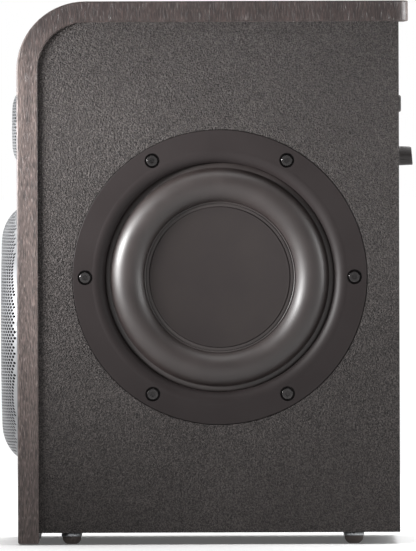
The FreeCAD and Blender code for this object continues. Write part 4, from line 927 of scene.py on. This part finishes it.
def make_plate_marks():
    """Frames round the two groups of controls and the stops of the slide switches."""
    bars("group_frames", frame_strokes(*KNOB_GROUP) + frame_strokes(*SWITCH_GROUP), FRAME_LINE, INK,
         "printed_ink")
    stops = []
    for node, travel in HALF_TRAVELS:
        x = round(middle(node).x / MM + travel)
        stops += [tuple(on_plate(x + stop, z) for z in STOP_MARK) for stop in (-travel, 0, travel)]
    bars("switch_stops", stops, THIN_LINE, INK, "printed_ink")


def make_button_trim():
    """A bezel round the button and a small lamp above it."""
    button = at_depth("standby_button", BACK_Y)
    lathe("button_bezel", BUTTON_BEZEL, button, BACK, "steel", CABINET, 96)
    lamp = button + UP * LAMP_LIFT * MM
    lathe("status_lamp", LAMP, lamp, BACK, "white_insulator", CABINET, 32)


def make_inlet_blades():
    inlet = at_depth("mains_inlet", BAY_FLOOR_Y + BLADE_FOOT * MM)
    half = UP * BLADE_HALF_HEIGHT * MM
    feet = [inlet + Vector((x, 0, z)) * MM for x, z in BLADES]
    bars("inlet_blades", [(foot - half, foot + half) for foot in feet], BLADE_WIDTH, BLADE_LENGTH,
         "plated_barrel", CABINET)


def make_input_details():
    """Contacts and latch of the balanced input, and the insulator of the other one."""
    socket = at_depth("xlr_socket", BAY_FLOOR_Y)
    for i in range(3):
        angle = math.radians(90 + 120 * i)
        contact = socket + Vector((math.cos(angle), 0, math.sin(angle))) * CONTACT_CIRCLE * MM
        lathe(f"input_contact_{i}", CONTACT, contact, BACK, "brass", CABINET, 32)
    latch = socket + UP * LATCH_LIFT * MM + BACK * LATCH_FOOT * MM
    side = RIGHT * LATCH_HALF_WIDTH * MM
    bars("input_latch", [(latch - side, latch + side)], LATCH_HEIGHT, LATCH_DEPTH, "steel", CABINET)
    lathe("input_insulator", INSULATOR, at_depth("rca_socket", BAY_FLOOR_Y), BACK, "white_insulator", CABINET,
          64)


def make_rocker_mark():
    root = at_depth("power_rocker", BAY_FLOOR_Y + ROCKER_MARK_FOOT * MM) + UP * ROCKER_MARK_LIFT * MM
    bars("rocker_mark", [(root, root + UP * ROCKER_MARK_LENGTH * MM)], ROCKER_MARK_WIDTH, ROCKER_MARK_DEPTH,
         "printed_ink", "power_rocker")


def make_back():
    make_dials()
    make_plate_marks()
    make_button_trim()
    make_inlet_blades()
    make_input_details()
    make_rocker_mark()


# ------------------------------------------------------------------ carried CAD nodes
def finish_cad_nodes():
    """Gives every CAD node the material of its slot."""
    for name, node in frame["nodes"].items():
        node.data.materials.clear()
        node.data.materials.append(MATERIALS[SLOTS[name]])


# ------------------------------------------------------------------ stage
ROOM_GREY = 0.22
FLOOR_SIZE = 40.0
FLOOR_WHITE = 0.93
SUN_POWER = 2.6
SUN_ANGLE = math.radians(60)                # its width in the sky
SUN_TILT = math.radians(-4)


def area_light(name, place, target, width, height, power, spread):
    """A soft panel light; spread is the full angle of its beam, in degrees."""
    data = bpy.data.lights.new(name, "AREA")
    data.shape = "RECTANGLE"
    data.size = width
    data.size_y = height
    data.energy = power
    data.spread = math.radians(spread)
    light = bpy.data.objects.new(name, data)
    light.visible_camera = False
    light.location = place
    light.rotation_mode = "QUATERNION"
    light.rotation_quaternion = (Vector(target) - Vector(place)).to_track_quat("-Z", "Y")
    bpy.context.scene.collection.objects.link(light)


def make_world():
    """White surroundings to look at, and a dimmer grey room to light and reflect in the object."""
    world = bpy.data.worlds.new("studio")
    bpy.context.scene.world = world
    world.use_nodes = True
    tree = world.node_tree
    seen = tree.nodes["Background"]
    seen.inputs["Color"].default_value = (1, 1, 1, 1)
    seen.inputs["Strength"].default_value = 1.0
    room = tree.nodes.new("ShaderNodeBackground")
    room.inputs["Color"].default_value = (1, 1, 1, 1)
    room.inputs["Strength"].default_value = ROOM_GREY
    path = tree.nodes.new("ShaderNodeLightPath")
    mix = tree.nodes.new("ShaderNodeMixShader")
    tree.links.new(path.outputs["Is Camera Ray"], mix.inputs[0])
    tree.links.new(room.outputs[0], mix.inputs[1])
    tree.links.new(seen.outputs[0], mix.inputs[2])
    tree.links.new(mix.outputs[0], tree.nodes["World Output"].inputs[0])


def make_floor():
    bpy.ops.mesh.primitive_plane_add(size=FLOOR_SIZE, location=(0, 0, 0))
    floor = bpy.context.object
    floor.name = "floor"
    paper = Finish("paper", Roughness=0.9, Specular_IOR_Level=0.1, Emission_Color=(1, 1, 1, 1),
                   Emission_Strength=0.1)
    paper.colour((FLOOR_WHITE, FLOOR_WHITE, FLOOR_WHITE, 1))
    floor.data.materials.append(paper.material)


def make_lights():
    """A key in front on the near side, two from behind, one for the far side, and a broad soft ceiling.

    The key and the glint stay lower than the cabinet's top, so that the top doesn't mirror them.
    """
    area_light("key", (0.25, -0.45, 0.24), (0.08, -0.11, 0.195), width=0.19, height=0.05, power=0.76,
               spread=47)
    area_light("glint", (0.10, 1.0, 0.24), (0.08, 0.09, 0.262), width=0.12, height=0.04, power=0.24,
               spread=24)
    area_light("rim", (0.33, 0.86, 0.35), (0.06, 0, 0.15), width=0.3, height=0.5, power=0.3, spread=60)
    area_light("far_side", (-1.4, 0.3, 0.6), (-0.08, 0, 0.15), width=0.9, height=0.9, power=2, spread=50)
    sun = bpy.data.lights.new("ceiling", "SUN")
    sun.energy = SUN_POWER
    sun.angle = SUN_ANGLE
    ceiling = bpy.data.objects.new("ceiling", sun)
    ceiling.rotation_euler = (0, SUN_TILT, 0)
    bpy.context.scene.collection.objects.link(ceiling)
    bpy.context.scene.view_settings.view_transform = "Standard"


# ------------------------------------------------------------------ camera
CAMERA_DISTANCE = 8.0      # metres from the shell's near side
CAMERA_HEIGHT = 0.240
VIEW_CENTRE = Vector((0.08, 0.0007, 0.1337))
VIEW_HEIGHT = 0.27346      # what the longer side of the picture spans at the near side
ROLL = math.radians(0.2)
SENSOR = 36                # millimetres
NEAREST, FARTHEST = 0.05, 60


def make_camera():
    """Far away, a little above the middle and looking straight at the loudspeaker's side."""
    data = bpy.data.cameras.new("camera")
    data.sensor_width = SENSOR
    data.lens = data.sensor_width * CAMERA_DISTANCE / VIEW_HEIGHT
    camera = bpy.data.objects.new("camera", data)
    place = Vector((VIEW_CENTRE.x + CAMERA_DISTANCE, VIEW_CENTRE.y, CAMERA_HEIGHT))
    camera.location = place
    camera.rotation_mode = "QUATERNION"
    aim = (VIEW_CENTRE - place).to_track_quat("-Z", "Y")
    camera.rotation_quaternion = aim @ Quaternion((0, 0, 1), -ROLL)
    data.clip_start = NEAREST
    data.clip_end = FARTHEST
    bpy.context.scene.collection.objects.link(camera)
    bpy.context.scene.camera = camera


# ------------------------------------------------------------------ the scene
finish_cad_nodes()
perforated_dome("woofer_grille_sheet", "woofer_grille", WOOFER, WOOFER_SHOULDER, WOOFER_SKIRT)
perforated_dome("tweeter_grille_sheet", "tweeter_grille", TWEETER, TWEETER_SHOULDER, TWEETER_SKIRT)
make_radiators()
make_woofer_rings()
make_feet()
make_back()
make_world()
make_floor()
make_lights()
make_camera()
